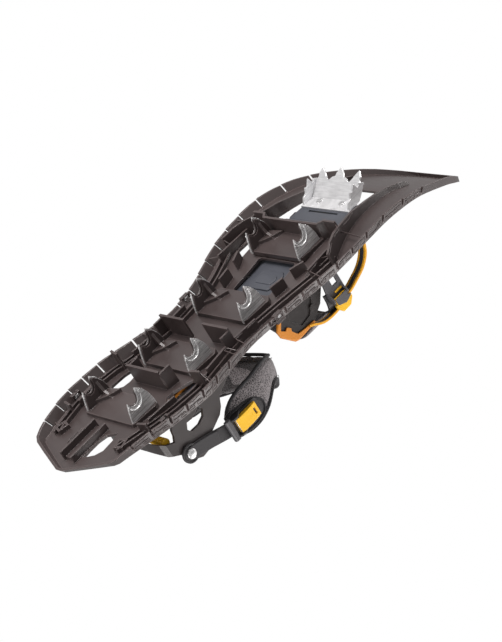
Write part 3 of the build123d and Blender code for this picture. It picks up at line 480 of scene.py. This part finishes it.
# ---------------------------------------------------------------- more materials
def mesh_fabric(name, col, scale=900.0):
    """Open knitted mesh: a lattice of small raised cells."""
    m = Mat(name)
    cells = m.n("ShaderNodeTexVoronoi", Scale=scale)
    cells.feature = "DISTANCE_TO_EDGE"
    m.nt.links.new(m.mapped((1.0, 1.0, 0.72), (0.35, 0.5, 0.2)), cells.inputs["Vector"])
    net = m.map(cells.outputs[0], 1.0, 0.0, 0.02, 0.16)
    fuzz = m.noise(2400.0, 3.0)
    broad = m.noise(45.0, 4.0)
    base = m.mix(net, scaled(col, 0.4), scaled(col, 1.7))
    base = m.mix(m.map(broad, 0.0, 0.45, 0.4, 0.75), base, scaled(col, 1.9))
    m.set(Base_Color=base, Roughness=m.map(fuzz, 0.75, 0.95), Sheen_Weight=0.35, Sheen_Roughness=0.5, Specular_IOR_Level=0.2)
    m.bump([(net, 0.6, 0.0004), (fuzz, 0.3, 0.0001), (broad, 0.25, 0.0006)])
    return m.mat


mats["mesh_cuff"] = mesh_fabric("mesh_cuff", (0.15, 0.135, 0.138), 480.0)
mats["lining"] = mesh_fabric("lining", (0.036, 0.032, 0.033), 500.0)
mats["wing_dark"] = plastic("wing_dark", (0.024, 0.019, 0.018), 0.34, bevel=0.0007, edge_wear_and_highlight_gain=2.6, spec=0.5)
# the rib's steel is lighter and smoother than the claw steel it is pressed into: painted highlight along the rib
mats["rib_steel"] = steel("rib_steel", (0.88, 0.88, 0.88), 0.22, metallic=0.7, mottled=0.08)
for side in ("left", "right"):
    nodes["toe_wing_" + side].data.materials[0] = mats["wing_dark"]
mats["piping"] = webbing("piping", (0.03, 0.029, 0.031))
mats["soft_dark"] = plastic("soft_dark", (0.028, 0.026, 0.028), 0.5, bevel=0.0005)
mats["edge_yellow"] = plastic("edge_yellow", (0.92, 0.43, 0.015), 0.38, edge_wear_and_highlight_gain=1.15, bevel=0.0004)
mats["thread"] = webbing("thread", (0.14, 0.13, 0.135))

# ---------------------------------------------------------------- ankle cuff: padded band that wraps over the instep
# stations of the outer face, from the arm's end to the middle: lower edge, upper edge (x, y, z)
near = [((-130, 50.0, 102.0), (-124, 50.0, 122.0)), ((-119, 50.4, 88.0), (-112, 50.4, 128.0)), ((-102, 50.4, 82.5), (-95, 50.4, 128.5)),
        ((-82, 50.0, 82.0), (-79, 50.0, 123.0)), ((-66, 48.0, 81.0), (-66, 48.0, 115.0)), ((-54, 43.5, 83.0), (-56, 43.5, 112.0)),
        ((-44, 35.5, 88.5), (-47, 35.5, 117.0)), ((-36.5, 26.0, 95.0), (-43, 26.0, 126.0)), ((-31, 14.0, 102.0), (-40, 14.0, 137.0)),
        ((-29, 0.0, 105.5), (-39, 0.0, 143.5))]
far = [((-130, -50.0, 102.0), (-124, -50.0, 122.0)), ((-119, -50.4, 88.0), (-112, -50.4, 128.0)), ((-102, -50.4, 84.0), (-97, -50.4, 130.0)),
       ((-82, -50.0, 86.0), (-81, -50.0, 131.0)), ((-66, -48.0, 89.0), (-69, -48.0, 136.0)), ((-54, -43.5, 93.0), (-59, -43.5, 139.5)),
       ((-45, -35.5, 98.0), (-52, -35.5, 141.0)), ((-38, -26.0, 102.0), (-46, -26.0, 142.0)), ((-32, -14.0, 105.0), (-41, -14.0, 143.5))]
stations = near + far[::-1]
low_line = smooth_line([a for a, b in stations], 4)
top_line = smooth_line([b for a, b in stations], 4)
CUFF_T = 8.2


def cuff_ring(i, swell=1.0, count=10, inner=0.0, outer=1.0):
    """One cross-section of the padded band, from its lower to its upper edge and back."""
    lo, hi = low_line[i], top_line[i]
    a, b = max(i - 1, 0), min(i + 1, len(low_line) - 1)
    run = ((low_line[b] + top_line[b]) - (low_line[a] + top_line[a])).normalized()
    up = (hi - lo)
    out = run.cross(up).normalized()
    centre_y = Vector((-80.0, 0.0, lo.z))
    if out.dot(((lo + hi) / 2) - centre_y) < 0:
        out = -out
    end = min(i, len(low_line) - 1 - i)
    thick = CUFF_T * (0.42 if end == 0 else 0.8 if end == 1 else 1.0)
    ring = []
    for k in range(count + 1):
        t = k / count
        puff = swell * 1.5 * math.sin(math.pi * t) ** 0.6
        edge = 1.0 - abs(2 * t - 1) ** 5
        ring.append(lo + up * t + out * (puff - (1 - edge) * 2.2))
    for k in range(count + 1):
        t = 1 - k / count
        edge = 1.0 - abs(2 * t - 1) ** 5
        ring.append(lo + up * t - out * (thick - (1 - edge) * 2.6 + 0.5 * math.sin(math.pi * t)))
    return ring, out


rings = [cuff_ring(i) for i in range(len(low_line))]
verts, faces = [], []
w = len(rings[0][0])
for ring, out in rings:
    verts += [tuple(p) for p in ring]
for i in range(len(rings) - 1):
    for k in range(w):
        faces.append((i * w + k, i * w + (k + 1) % w, (i + 1) * w + (k + 1) % w, (i + 1) * w + k))
faces.append(tuple(range(w)))
faces.append(tuple((len(rings) - 1) * w + k for k in reversed(range(w))))
cuff = add_mesh("cuff_pad", verts, faces, "mesh_cuff", "ankle_strap", "cuff_fabric")


def swell_cloth(obj, voxel, pressure, cap):
    """Blow the pad up with a short cloth run, keep every point within cap of where it was, then smooth it."""
    mod = obj.modifiers.new("remesh", "REMESH")
    mod.mode = "VOXEL"
    mod.voxel_size = voxel * MM
    dg = bpy.context.evaluated_depsgraph_get()
    mesh = bpy.data.meshes.new_from_object(obj.evaluated_get(dg))
    obj.modifiers.remove(mod)
    old = [v.co.copy() for v in mesh.vertices]
    obj.data = mesh
    cloth = obj.modifiers.new("cloth", "CLOTH")
    cloth.settings.use_pressure = True
    cloth.settings.uniform_pressure_force = pressure
    cloth.settings.effector_weights.gravity = 0
    cloth.settings.quality = 6
    cloth.settings.tension_stiffness = 20
    cloth.point_cache.frame_start, cloth.point_cache.frame_end = 1, 20
    for f in range(1, 21):
        scene.frame_set(f)
    dg = bpy.context.evaluated_depsgraph_get()
    blown = bpy.data.meshes.new_from_object(obj.evaluated_get(dg))
    obj.modifiers.remove(cloth)
    for v, o in zip(blown.vertices, old):
        d = v.co - o
        if d.length > cap * MM:
            v.co = o + d.normalized() * cap * MM
    obj.data = blown
    scene.frame_set(1)
    if not blown.materials:
        blown.materials.append(mats["mesh_cuff"])
    blown.shade_smooth()
    sub = obj.modifiers.new("subdivision", "SUBSURF")
    sub.levels = sub.render_levels = 1


swell_cloth(cuff, 4.0, 4.0, 1.6)
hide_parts("ankle_cuff")

# piping round the whole edge of the band, a seam line just inside it, and the smooth lining
edge_path = [p + o * -1.0 for p, (r, o) in zip(low_line, rings)] + [p + o * -1.0 for p, (r, o) in zip(reversed(top_line), reversed(rings))]
tube("cuff_piping", [tuple(p) for p in edge_path], 1.9, "piping", "ankle_strap", "cuff_fabric", 10, True)
seam = []
for t in (0.13, 0.87):
    line = [a.lerp(b, t) + o * 1.55 for a, b, (r, o) in zip(low_line, top_line, rings)]
    seam.append(stitch_mesh([tuple(p) for p in line[2:-2]]))
sv, sf = merged(seam)
add_mesh("cuff_stitching", sv, sf, "thread", "ankle_strap", "cuff_fabric")
# the lining stands a little proud of the padding on the inside
verts, faces = [], []
rows = 9
for i in range(1, len(low_line) - 1):
    o = rings[i][1]
    for k in range(rows):
        t = 0.1 + 0.8 * k / (rows - 1)
        verts.append(tuple(low_line[i].lerp(top_line[i], t) - o * (CUFF_T + 0.9 + 0.7 * math.sin(math.pi * k / (rows - 1)))))
inner_n = len(verts)
for i in range(1, len(low_line) - 1):
    o = rings[i][1]
    for k in range(rows):
        t = 0.1 + 0.8 * k / (rows - 1)
        verts.append(tuple(low_line[i].lerp(top_line[i], t) - o * (CUFF_T - 1.5)))
cols = len(low_line) - 2
for i in range(cols - 1):
    for k in range(rows - 1):
        q = (i * rows + k, i * rows + k + 1, (i + 1) * rows + k + 1, (i + 1) * rows + k)
        faces.append(q)
        faces.append(tuple(inner_n + v for v in reversed(q)))
rim_loop = [k for k in range(rows)] + [i * rows + rows - 1 for i in range(1, cols)] + [(cols - 1) * rows + k for k in reversed(range(rows - 1))] + [i * rows for i in reversed(range(1, cols - 1))]
for a, b in zip(rim_loop, rim_loop[1:] + rim_loop[:1]):
    faces.append((a, b, inner_n + b, inner_n + a))
lining = add_mesh("cuff_lining", verts, faces, "lining", "ankle_strap", "cuff_fabric")

# pocket on the outer side that the buckle lies in
pocket = [(-133.5, 101.0), (-128.0, 96.0), (-116.0, 95.0), (-97.0, 98.0), (-86.5, 106.0), (-84.0, 114.0), (-88.0, 121.5), (-99.0, 125.0), (-112.0, 125.0), (-124.0, 121.0), (-131.0, 112.0)]
loop = smooth_line([(x, z) for x, z in pocket], 4, True)
prism("cuff_pocket", [(p[0], p[1]) for p in loop], 50.6, 52.9, "y", "soft_dark", "ankle_strap", "cuff_fabric", 0.5)
tube("cuff_pocket_rim", [(p[0], 52.6, p[1]) for p in loop], 1.5, "piping", "ankle_strap", "cuff_fabric", 10, True)
ring2 = [(-109 + (p[0] + 109) * 1.16, -110 + 220 + (p[1] - 110) * 1.2) for p in loop]
sv, sf = stitch_mesh([(x, 52.05, z) for x, z in ring2 if z < 127.0 and x > -132])
add_mesh("cuff_pocket_stitching", sv, sf, "thread", "ankle_strap", "cuff_fabric")

# ---------------------------------------------------------------- ankle straps
RX, RZ = -183.0, 94.0
for sgn, side, end in ((1, "left", (-118.0, 111.0)), (-1, "right", (-100.0, 113.5))):
    line = smooth_line([(RX, RZ), (-160.0, 99.5), (-136.0, 107.0), end], 6)
    parts = [outline_prism(side_line(line, 8.2), sgn * 50.5, sgn * 52.7, "y")]
    web = add_mesh("ankle_strap_" + side, *parts[0], "soft_dark", "ankle_strap", "webbing", bevel=0.7)
    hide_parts("ankle_web_" + side)
    upper = [p for p in line if p[0] < -147.0]
    prism("ankle_strap_doubler_" + side, side_line(upper, 7.4), sgn * 52.5, sgn * 54.3, "y", "soft_dark", "ankle_strap", "webbing", 0.8)
    disc = lathe_mesh([(0, 9.9), (0.8, 10.4), (2.6, 10.4), (3.2, 9.9), (3.2, 8.6), (2.3, 8.2), (2.3, 7.0), (3.4, 6.6), (3.4, 5.9)], (RX, sgn * 50.5, RZ), (0, sgn, 0), 40)
    add_mesh("ankle_strap_boss_" + side, *disc, "soft_dark", "ankle_strap", "webbing")
    stitches = [stitch_mesh([(p[0], sgn * 52.8, p[1]) for p in smooth_line(list(reversed(side_line(line, k)))[:len(line)], 2) if p[0] > -144.0]) for k in (6.6, -6.6)]
    add_mesh("ankle_strap_stitching_" + side, *merged(stitches), "thread", "ankle_strap", "webbing")

# domed rivets of the ankle strap, with a turned rim
parts = []
for sgn in (1, -1):
    parts.append(lathe_mesh([(0, 5.2), (0.5, 5.6), (1.2, 5.5), (1.7, 4.6), (1.5, 4.0), (2.1, 2.6), (2.4, 0.0)], (RX, sgn * 53.6, RZ), (0, sgn, 0), 32))
    parts.append(lathe_mesh([(0, 3.0), (7.4, 3.0)], (RX, sgn * 46.3, RZ), (0, sgn, 0), 24))
    parts.append(lathe_mesh([(0, 5.3), (-0.6, 5.6), (-1.4, 4.8), (-1.8, 0.0)], (RX, sgn * 46.4, RZ), (0, sgn, 0), 24))
rivets = add_mesh("strap_rivet_heads", *merged(parts), "pin_steel", "heel_carriage", "pin_steel")
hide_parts("strap_rivets")

# ---------------------------------------------------------------- ankle buckle
plate = [(-129.5, 99.2), (-128.0, 98.0), (-93.0, 98.0), (-91.0, 101.0), (-91.0, 115.0), (-93.0, 118.0), (-128.0, 118.0), (-129.5, 116.8)]
base = prism("ankle_buckle_body", plate, 53.7, 56.2, "y", "soft_dark", "ankle_strap", "buckle_plastic", 0.6)
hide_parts("ankle_buckle_base")
ear = [(-130.0, 53.9), (-130.0, 59.5), (-127.8, 61.7), (-121.5, 61.7), (-118.6, 59.0), (-114.0, 56.2), (-114.0, 53.9)]
prism("ankle_buckle_ear_low", ear, 96.6, 99.2, "z", "soft_dark", "ankle_strap", "buckle_plastic", 0.6)
prism("ankle_buckle_ear_high", ear, 116.9, 119.4, "z", "soft_dark", "ankle_strap", "buckle_plastic", 0.6)
prism("ankle_buckle_block", [(-136.0, 53.6), (-136.0, 56.8), (-134.0, 58.4), (-129.6, 58.4), (-128.4, 56.6), (-128.4, 53.6)], 95.4, 121.4, "z", "buckle_plastic", "ankle_strap", "buckle_plastic", 0.8)


def cut_box(obj, lo, hi):
    mesh = bpy.data.meshes.new(obj.name + "_cut")
    x0, y0, z0 = (v * MM for v in lo)
    x1, y1, z1 = (v * MM for v in hi)
    mesh.from_pydata([(x0, y0, z0), (x1, y0, z0), (x1, y1, z0), (x0, y1, z0), (x0, y0, z1), (x1, y0, z1), (x1, y1, z1), (x0, y1, z1)], [],
                     [(0, 3, 2, 1), (4, 5, 6, 7), (0, 1, 5, 4), (1, 2, 6, 5), (2, 3, 7, 6), (3, 0, 4, 7)])
    cutter = bpy.data.objects.new(obj.name + "_cut", mesh)
    scene.collection.objects.link(cutter)
    keep = list(obj.modifiers)
    mod = obj.modifiers.new("slot", "BOOLEAN")
    mod.operation, mod.object, mod.solver = "DIFFERENCE", cutter, "EXACT"
    dg = bpy.context.evaluated_depsgraph_get()
    for m in keep:
        m.show_viewport = False
    dg.update()
    result = bpy.data.meshes.new_from_object(obj.evaluated_get(dg))
    obj.modifiers.remove(mod)
    for m in keep:
        m.show_viewport = True
    obj.data = result
    bpy.data.objects.remove(cutter)


lever_xy = [(-126.3, 58.4), (-125.2, 56.9), (-121.0, 56.5), (-112.0, 56.6), (-97.0, 57.0), (-95.4, 58.4), (-96.4, 60.2), (-103.0, 61.6), (-112.0, 62.0), (-121.0, 61.7), (-125.4, 60.6)]
lever = prism("ankle_buckle_tongue", lever_xy, 99.7, 116.4, "z", "yellow_plastic", "ankle_buckle", "yellow_plastic", 0.9)
cut_box(lever, (-102.4, 59.3, 104.4), (-99.6, 64.0, 111.8))
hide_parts("ankle_buckle_lever")
prism("ankle_buckle_slot", [(-102.3, 104.5), (-99.7, 104.5), (-99.7, 111.7), (-102.3, 111.7)], 59.2, 59.6, "y", "soft_dark", "ankle_buckle", "yellow_plastic", 0.1)
add_mesh("ankle_buckle_pin", *lathe_mesh([(0, 1.2), (0.3, 1.6), (22.3, 1.6), (22.6, 1.2)], (-124.5, 59.0, 96.7), (0, 0, 1), 20), "pin_steel", "ankle_buckle", "pin_steel")

# ---------------------------------------------------------------- ribbed grip of the heel lift
gx, gz = -194.4, 72.2
profile = [(-40.9, 3.0), (-40.6, 4.6), (-39.9, 5.1)]
y = -39.9
while y < -21.5:
    profile += [(y + 2.0, 5.25), (y + 2.6, 4.9), (y + 3.0, 4.35), (y + 3.6, 4.35), (y + 4.0, 4.9)]
    y += 4.2
profile += [(-18.0, 4.3), (0.0, 4.2), (18.0, 4.3)]
profile += [(-t, r) for t, r in reversed(profile[:-3])]
grip = add_mesh("heel_lift_sleeve", *lathe_mesh(profile, (gx, 0, gz), (0, 1, 0), 28), "yellow_plastic", "heel_lift", "yellow_plastic")
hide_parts("heel_lift_grip")

# ---------------------------------------------------------------- toe cage straps
toe_line = smooth_line([(119.0, 40.5), (118.2, 56.0), (114.8, 69.5), (109.8, 78.2), (99.4, 86.4), (85.6, 91.8), (72.0, 95.8), (60.0, 96.2)], 6)
for sgn, side in ((1, "left"), (-1, "right")):
    core = prism("toe_strap_core_" + side, side_line(toe_line, 1.15), sgn * 43.0, sgn * 49.2, "y", "strap_elastomer", "binding", "webbing", 0.3, 2)
    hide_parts("toe_strap_" + side)
    prism("toe_strap_edge_out_" + side, side_line(toe_line, 1.35), sgn * 49.2, sgn * 52.0, "y", "edge_yellow", "binding", "orange_elastomer", 0.5)
    prism("toe_strap_edge_in_" + side, side_line(toe_line, 1.35), sgn * 40.0, sgn * 43.0, "y", "edge_yellow", "binding", "orange_elastomer", 0.5)
    prism("toe_strap_keeper_" + side, [(111.8, 39.0), (121.5, 39.0), (121.5, 42.4), (111.8, 42.4)], sgn * 36.4, sgn * 51.6, "y", "strap_elastomer", "binding", "webbing", 0.7)

# instep strap: a ladder band over the foot with a hem along its rear edge
def arch(width, base, height, p, n=28):
    pts = []
    for i in range(n + 1):
        a = math.pi * i / n
        yy = width * math.copysign(abs(math.cos(a)) ** (2.0 / p), math.cos(a))
        pts.append((yy, base + height * abs(math.sin(a)) ** (2.0 / p)))
    return pts


outer = [(52.4, 77.0)] + arch(52.4, 80.0, 42.0, 2.1) + [(-52.4, 61.0)]
inner = [(50.0, 77.0)] + arch(50.0, 80.0, 39.6, 2.1) + [(-50.0, 61.0)]
band = prism("instep_band", outer + inner[::-1], 41.6, 58.0, "x", "strap_elastomer", "binding", "strap_elastomer", 0.5, 2, 50.0)
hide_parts("instep_strap")
edge = [(52.7, 76.6)] + arch(52.7, 80.0, 42.3, 2.1) + [(-52.7, 60.8)]
prism("instep_band_hem", edge + ([(49.8, 76.6)] + arch(49.8, 80.0, 39.4, 2.1) + [(-49.8, 60.8)])[::-1], 40.0, 41.8, "x", "strap_elastomer", "binding", "strap_elastomer", 0.4, 2, 50.0)
teeth = []
for i in range(4, 25):
    y0, z0 = outer[i]
    y1, z1 = outer[i + 1]
    t = Vector((y1 - y0, z1 - z0)).normalized()
    m = Vector(((y0 + y1) / 2, (z0 + z1) / 2))
    nrm = Vector((t[1], -t[0]))
    if nrm.dot(m - Vector((0, 80))) < 0:
        nrm = -nrm
    a, b = m - t * 0.9, m + t * 0.9
    quad = [(a[0], a[1]), (b[0], b[1]), (b[0] + nrm[0] * 0.45, b[1] + nrm[1] * 0.45), (a[0] + nrm[0] * 0.45, a[1] + nrm[1] * 0.45)]
    teeth.append(outline_prism(quad, 44.0, 55.0, "x"))
add_mesh("instep_band_teeth", *merged(teeth), "strap_elastomer", "binding", "strap_elastomer", smooth=False)

# side straps from the wings up to the instep band, with bright edges
side_path = smooth_line([(8.0, 89.6), (14.0, 92.4), (20.0, 96.4), (27.0, 99.4), (36.0, 100.8), (44.0, 100.8), (50.0, 100.2)], 5)
for sgn, side in ((1, "left"), (-1, "right")):
    prism("instep_side_strap_" + side, side_line(side_path, 1.1), sgn * 46.6, sgn * 51.4, "y", "strap_elastomer", "binding", "strap_elastomer", 0.3, 2)
    prism("instep_side_edge_out_" + side, side_line(side_path, 1.3), sgn * 51.3, sgn * 53.0, "y", "edge_yellow", "binding", "orange_elastomer", 0.4)
    prism("instep_side_edge_in_" + side, side_line(side_path, 1.3), sgn * 44.8, sgn * 46.6, "y", "edge_yellow", "binding", "orange_elastomer", 0.4)

# padded tongue under the instep strap
pad_rows = []
for i in range(25):
    a = math.pi * (0.17 + 0.66 * i / 24)
    yy = 46.0 * math.copysign(abs(math.cos(a)) ** (2.0 / 2.1), math.cos(a))
    zz = 80.0 + 36.5 * abs(math.sin(a)) ** (2.0 / 2.1)
    nrm = Vector((0, yy / 46.0, (zz - 80.0) / 36.5)).normalized()
    end = min(i, 24 - i)
    half = 21.0 if end > 3 else 21.0 * (0.45 + 0.18 * end)
    ring = []
    for k in range(24):
        ang = 2 * math.pi * k / 24
        cx, cn = math.cos(ang), math.sin(ang)
        ring.append(tuple(Vector((30.0 + half * math.copysign(abs(cx) ** 0.45, cx), yy, zz)) + nrm * 2.1 * math.copysign(abs(cn) ** 0.7, cn)))
    pad_rows.append(ring)
verts = [p for ring in pad_rows for p in ring]
faces = [(i * 24 + k, i * 24 + (k + 1) % 24, (i + 1) * 24 + (k + 1) % 24, (i + 1) * 24 + k) for i in range(24) for k in range(24)]
faces += [tuple(range(24)), tuple(24 * 24 + k for k in reversed(range(24)))]
tongue_pad = add_mesh("instep_pad", verts, faces, "mesh_cuff", "binding", "strap_elastomer", subsurf=1)

# ---------------------------------------------------------------- ratchet buckle of the instep strap
shell = [(46.0, 61.0), (62.0, 60.5), (66.5, 66.0), (67.0, 84.0), (65.0, 89.0), (42.5, 89.0), (42.3, 78.0), (44.0, 66.0)]
holder = prism("ratchet_shell", shell, 52.8, 55.2, "y", "buckle_plastic", "binding", "buckle_plastic", 0.6)
cut_box(holder, (54.0, 40.0, 65.0), (61.6, 60.0, 73.6))
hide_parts("ratchet_base")
for x0, tag in ((42.4, "rear"), (62.7, "front")):
    prism("ratchet_ear_" + tag, [(54.9, 75.0), (57.6, 80.0), (61.0, 84.0), (61.4, 87.0), (59.6, 89.6), (54.9, 89.6)], x0, x0 + 2.4, "x", "buckle_plastic", "binding", "buckle_plastic", 0.5)
prism("ratchet_pawl", [(52.6, 79.4), (64.2, 79.4), (65.2, 80.6), (64.8, 81.8), (53.0, 81.8), (52.2, 80.6)], 55.0, 56.1, "y", "yellow_plastic", "binding", "yellow_plastic", 0.3)
tongue = [(45.3, 84.2), (45.3, 90.4), (42.9, 91.2), (43.4, 96.4), (48.2, 102.6), (59.6, 102.4), (65.8, 96.0), (66.4, 91.2), (62.1, 90.4), (62.1, 84.2)]
tog = prism("ratchet_tongue", tongue, 56.9, 61.0, "y", "yellow_plastic", "toe_ratchet", "yellow_plastic", 1.1)
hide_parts("ratchet_lever")
prism("ratchet_tongue_cap", [(45.4, 83.9), (61.9, 83.9), (62.0, 90.2), (65.4, 91.0), (64.4, 93.0), (56.0, 96.0), (46.4, 92.4), (45.4, 90.4)], 60.6, 61.6, "y", "buckle_plastic", "toe_ratchet", "buckle_plastic", 0.4)
add_mesh("ratchet_pin", *lathe_mesh([(0, 1.2), (0.3, 1.6), (22.0, 1.6), (22.3, 1.2)], (42.6, 58.4, 86.0), (1, 0, 0), 20), "pin_steel", "toe_ratchet", "pin_steel")

# ---------------------------------------------------------------- bright corner guards of the toe wings
guard = [(-17.6, 57.4), (-20.6, 59.0), (-27.4, 68.6), (-26.6, 75.2), (-14.0, 90.4), (-10.8, 92.2), (17.0, 91.4), (17.0, 89.2), (2.0, 88.2), (-7.8, 86.6), (-12.4, 79.0), (-11.2, 75.6), (-15.2, 71.6), (-18.6, 73.8), (-23.4, 69.6), (-16.0, 59.6)]
for sgn, side in ((1, "left"), (-1, "right")):
    tip = prism("toe_guard_" + side, guard, sgn * 49.6, sgn * 51.4, "y", "orange_elastomer", "binding", "orange_elastomer", 0.6)
    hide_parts("toe_trim_" + side)
    rim = smooth_line([(-19.2, 57.6), (-27.2, 68.6), (-26.2, 75.4), (-13.6, 90.8), (-10.4, 92.0), (17.0, 91.0)], 1)
    tube("toe_guard_bead_" + side, [(p[0], sgn * 49.9, p[1]) for p in rim], 1.5, "orange_elastomer", "binding", "orange_elastomer", 10)

# ---------------------------------------------------------------- pressed rib along the hollow of each claw's outer face, and the moulded lip of its backing on the inner one
lip_line = smooth_line([(-15.6, 9.6), (-14.6, 12.6), (-11.4, 15.2), (-7.4, 15.6), (-4.0, 13.4), (-2.2, 9.0), (-1.8, 4.9), (-0.7, 1.8)], 4)
rib_line = smooth_line([(1.7, 4.2), (2.0, 9.5), (0.4, 15.0), (-3.6, 19.2), (-9.0, 20.2), (-14.0, 18.6), (-17.0, 14.8), (-16.8, 12.2)], 5)
for row, xc, zt, zb in (("1", 65.6, 0.0, 30.0), ("2", -27.8, 6.0, 35.6), ("3", -109.3, 5.7, 34.6), ("4", -190.5, 0.0, 28.4)):
    k = (zb - zt) / 29.6
    for sgn, side in ((1, "left"), (-1, "right")):
        radii = [0.5 + 0.65 * math.sin(math.pi * (i + 0.5) / len(rib_line)) ** 0.5 for i in range(len(rib_line))]
        verts, faces = tube_mesh([(xc + p[0], sgn * 41.8, zt + p[1] * k) for p in rib_line], radii, 8)
        name = "claw_%s_%s_%s" % (row, "front" if row == "1" else "rear", side) if row in "14" else "claw_%s_%s" % (row, side)
        add_mesh("rib_" + name, verts, faces, "rib_steel", "deck", "claw_steel")
        radii = [0.5 + 0.75 * math.sin(math.pi * (i + 0.5) / len(lip_line)) ** 0.5 for i in range(len(lip_line))]
        verts, faces = tube_mesh([(xc + p[0], sgn * 39.5, zt + p[1] * k) for p in lip_line], radii, 8)
        add_mesh("lip_" + name, verts, faces, "deck_plastic", "deck", "deck_plastic")

# ---------------------------------------------------------------- raised bar on the underside of the foot plate, seen through the window
prism("plate_raised_bar", [(6.0, -15.0), (10.0, -19.0), (30.0, -19.0), (35.0, -14.0), (35.0, 14.0), (30.0, 19.0), (10.0, 19.0), (6.0, 15.0)], 43.9, 45.6, "z", "plate_plastic", "binding", "plate_plastic", 1.2)
prism("plate_raised_rib", [(14.0, -12.0), (18.0, -14.0), (24.0, -14.0), (27.0, -11.0), (27.0, 11.0), (24.0, 14.0), (18.0, 14.0), (14.0, 12.0)], 43.1, 44.2, "z", "plate_plastic", "binding", "plate_plastic", 0.8)

# ---------------------------------------------------------------- moulded ribs and pocket frames on the outer face of the rail
deck_obj = nodes["deck_frame"]
tree = BVHTree.FromPolygons([deck_obj.matrix_world @ v.co for v in deck_obj.data.vertices], [tuple(q.vertices) for q in deck_obj.data.polygons])


def rail_face(x, side):
    """Heights of the rail's outer face at x: (z, y) samples from its lower rim upwards."""
    found = []
    z = 4.0
    while z < 60.0:
        hit, normal, _, _ = tree.ray_cast(Vector((x * MM, side * 0.2, z * MM)), Vector((0, -side, 0)))
        if hit is not None and abs(hit.y) > 0.06 and abs(normal.y) > 0.35:
            found.append((z, hit.y / MM))
        elif found:
            break
        z += 0.75
    return found


slot_x = [-243.1, -220.4, -198.2, -176.6, -153.9, -131.0, -108.8, -86.0, -64.0, -44.8, -22.5, -0.3, 18.8, 43.1, 66.0, 89.5, 117.7, 151.8, 185.5]
for side, tag in ((1, "left"), (-1, "right")):
    ribs, frames = [], []
    for a, b in zip(slot_x, slot_x[1:]):
        x0, x1 = a + 3.4, b - 3.4
        path_low, path_mid = [], []
        for i in range(9):
            x = x0 + (x1 - x0) * i / 8
            face = rail_face(x, side)
            if len(face) < 6:
                continue
            lo, hi = face[0][0], face[-1][0]

            def at(f):
                z = lo + (hi - lo) * f
                return min(face, key=lambda q: abs(q[0] - z))
            q = at(0.5)
            path_mid.append((x, q[1], q[0]))
            q = at(0.12)
            path_low.append((x, q[1], q[0]))
        if len(path_mid) > 5:
            ribs.append(tube_mesh(path_mid, 0.75, 8))
            ribs.append(tube_mesh(path_low, 0.6, 8))
        mid = (x0 + x1) / 2
        for dx in (-5.6, 5.6):
            corners = []
            for cx, f in ((-3.4, 0.62), (3.4, 0.62), (3.4, 0.88), (-3.4, 0.88)):
                face = rail_face(mid + dx + cx, side)
                if len(face) < 6:
                    break
                lo, hi = face[0][0], face[-1][0]
                z = lo + (hi - lo) * f
                q = min(face, key=lambda q: abs(q[0] - z))
                corners.append((mid + dx + cx, q[1], q[0]))
            if len(corners) == 4:
                loop4 = [tuple(Vector(corners[i]).lerp(Vector(corners[(i + 1) % 4]), t)) for i in range(4) for t in (0.0, 0.25, 0.5, 0.75)]
                frames.append(tube_mesh(loop4, 0.55, 6, True))
    if ribs:
        add_mesh("rail_ribs_" + tag, *merged(ribs), "deck_plastic", "deck", "deck_plastic")
    if frames:
        add_mesh("rail_pocket_frames_" + tag, *merged(frames), "deck_plastic", "deck", "deck_plastic")
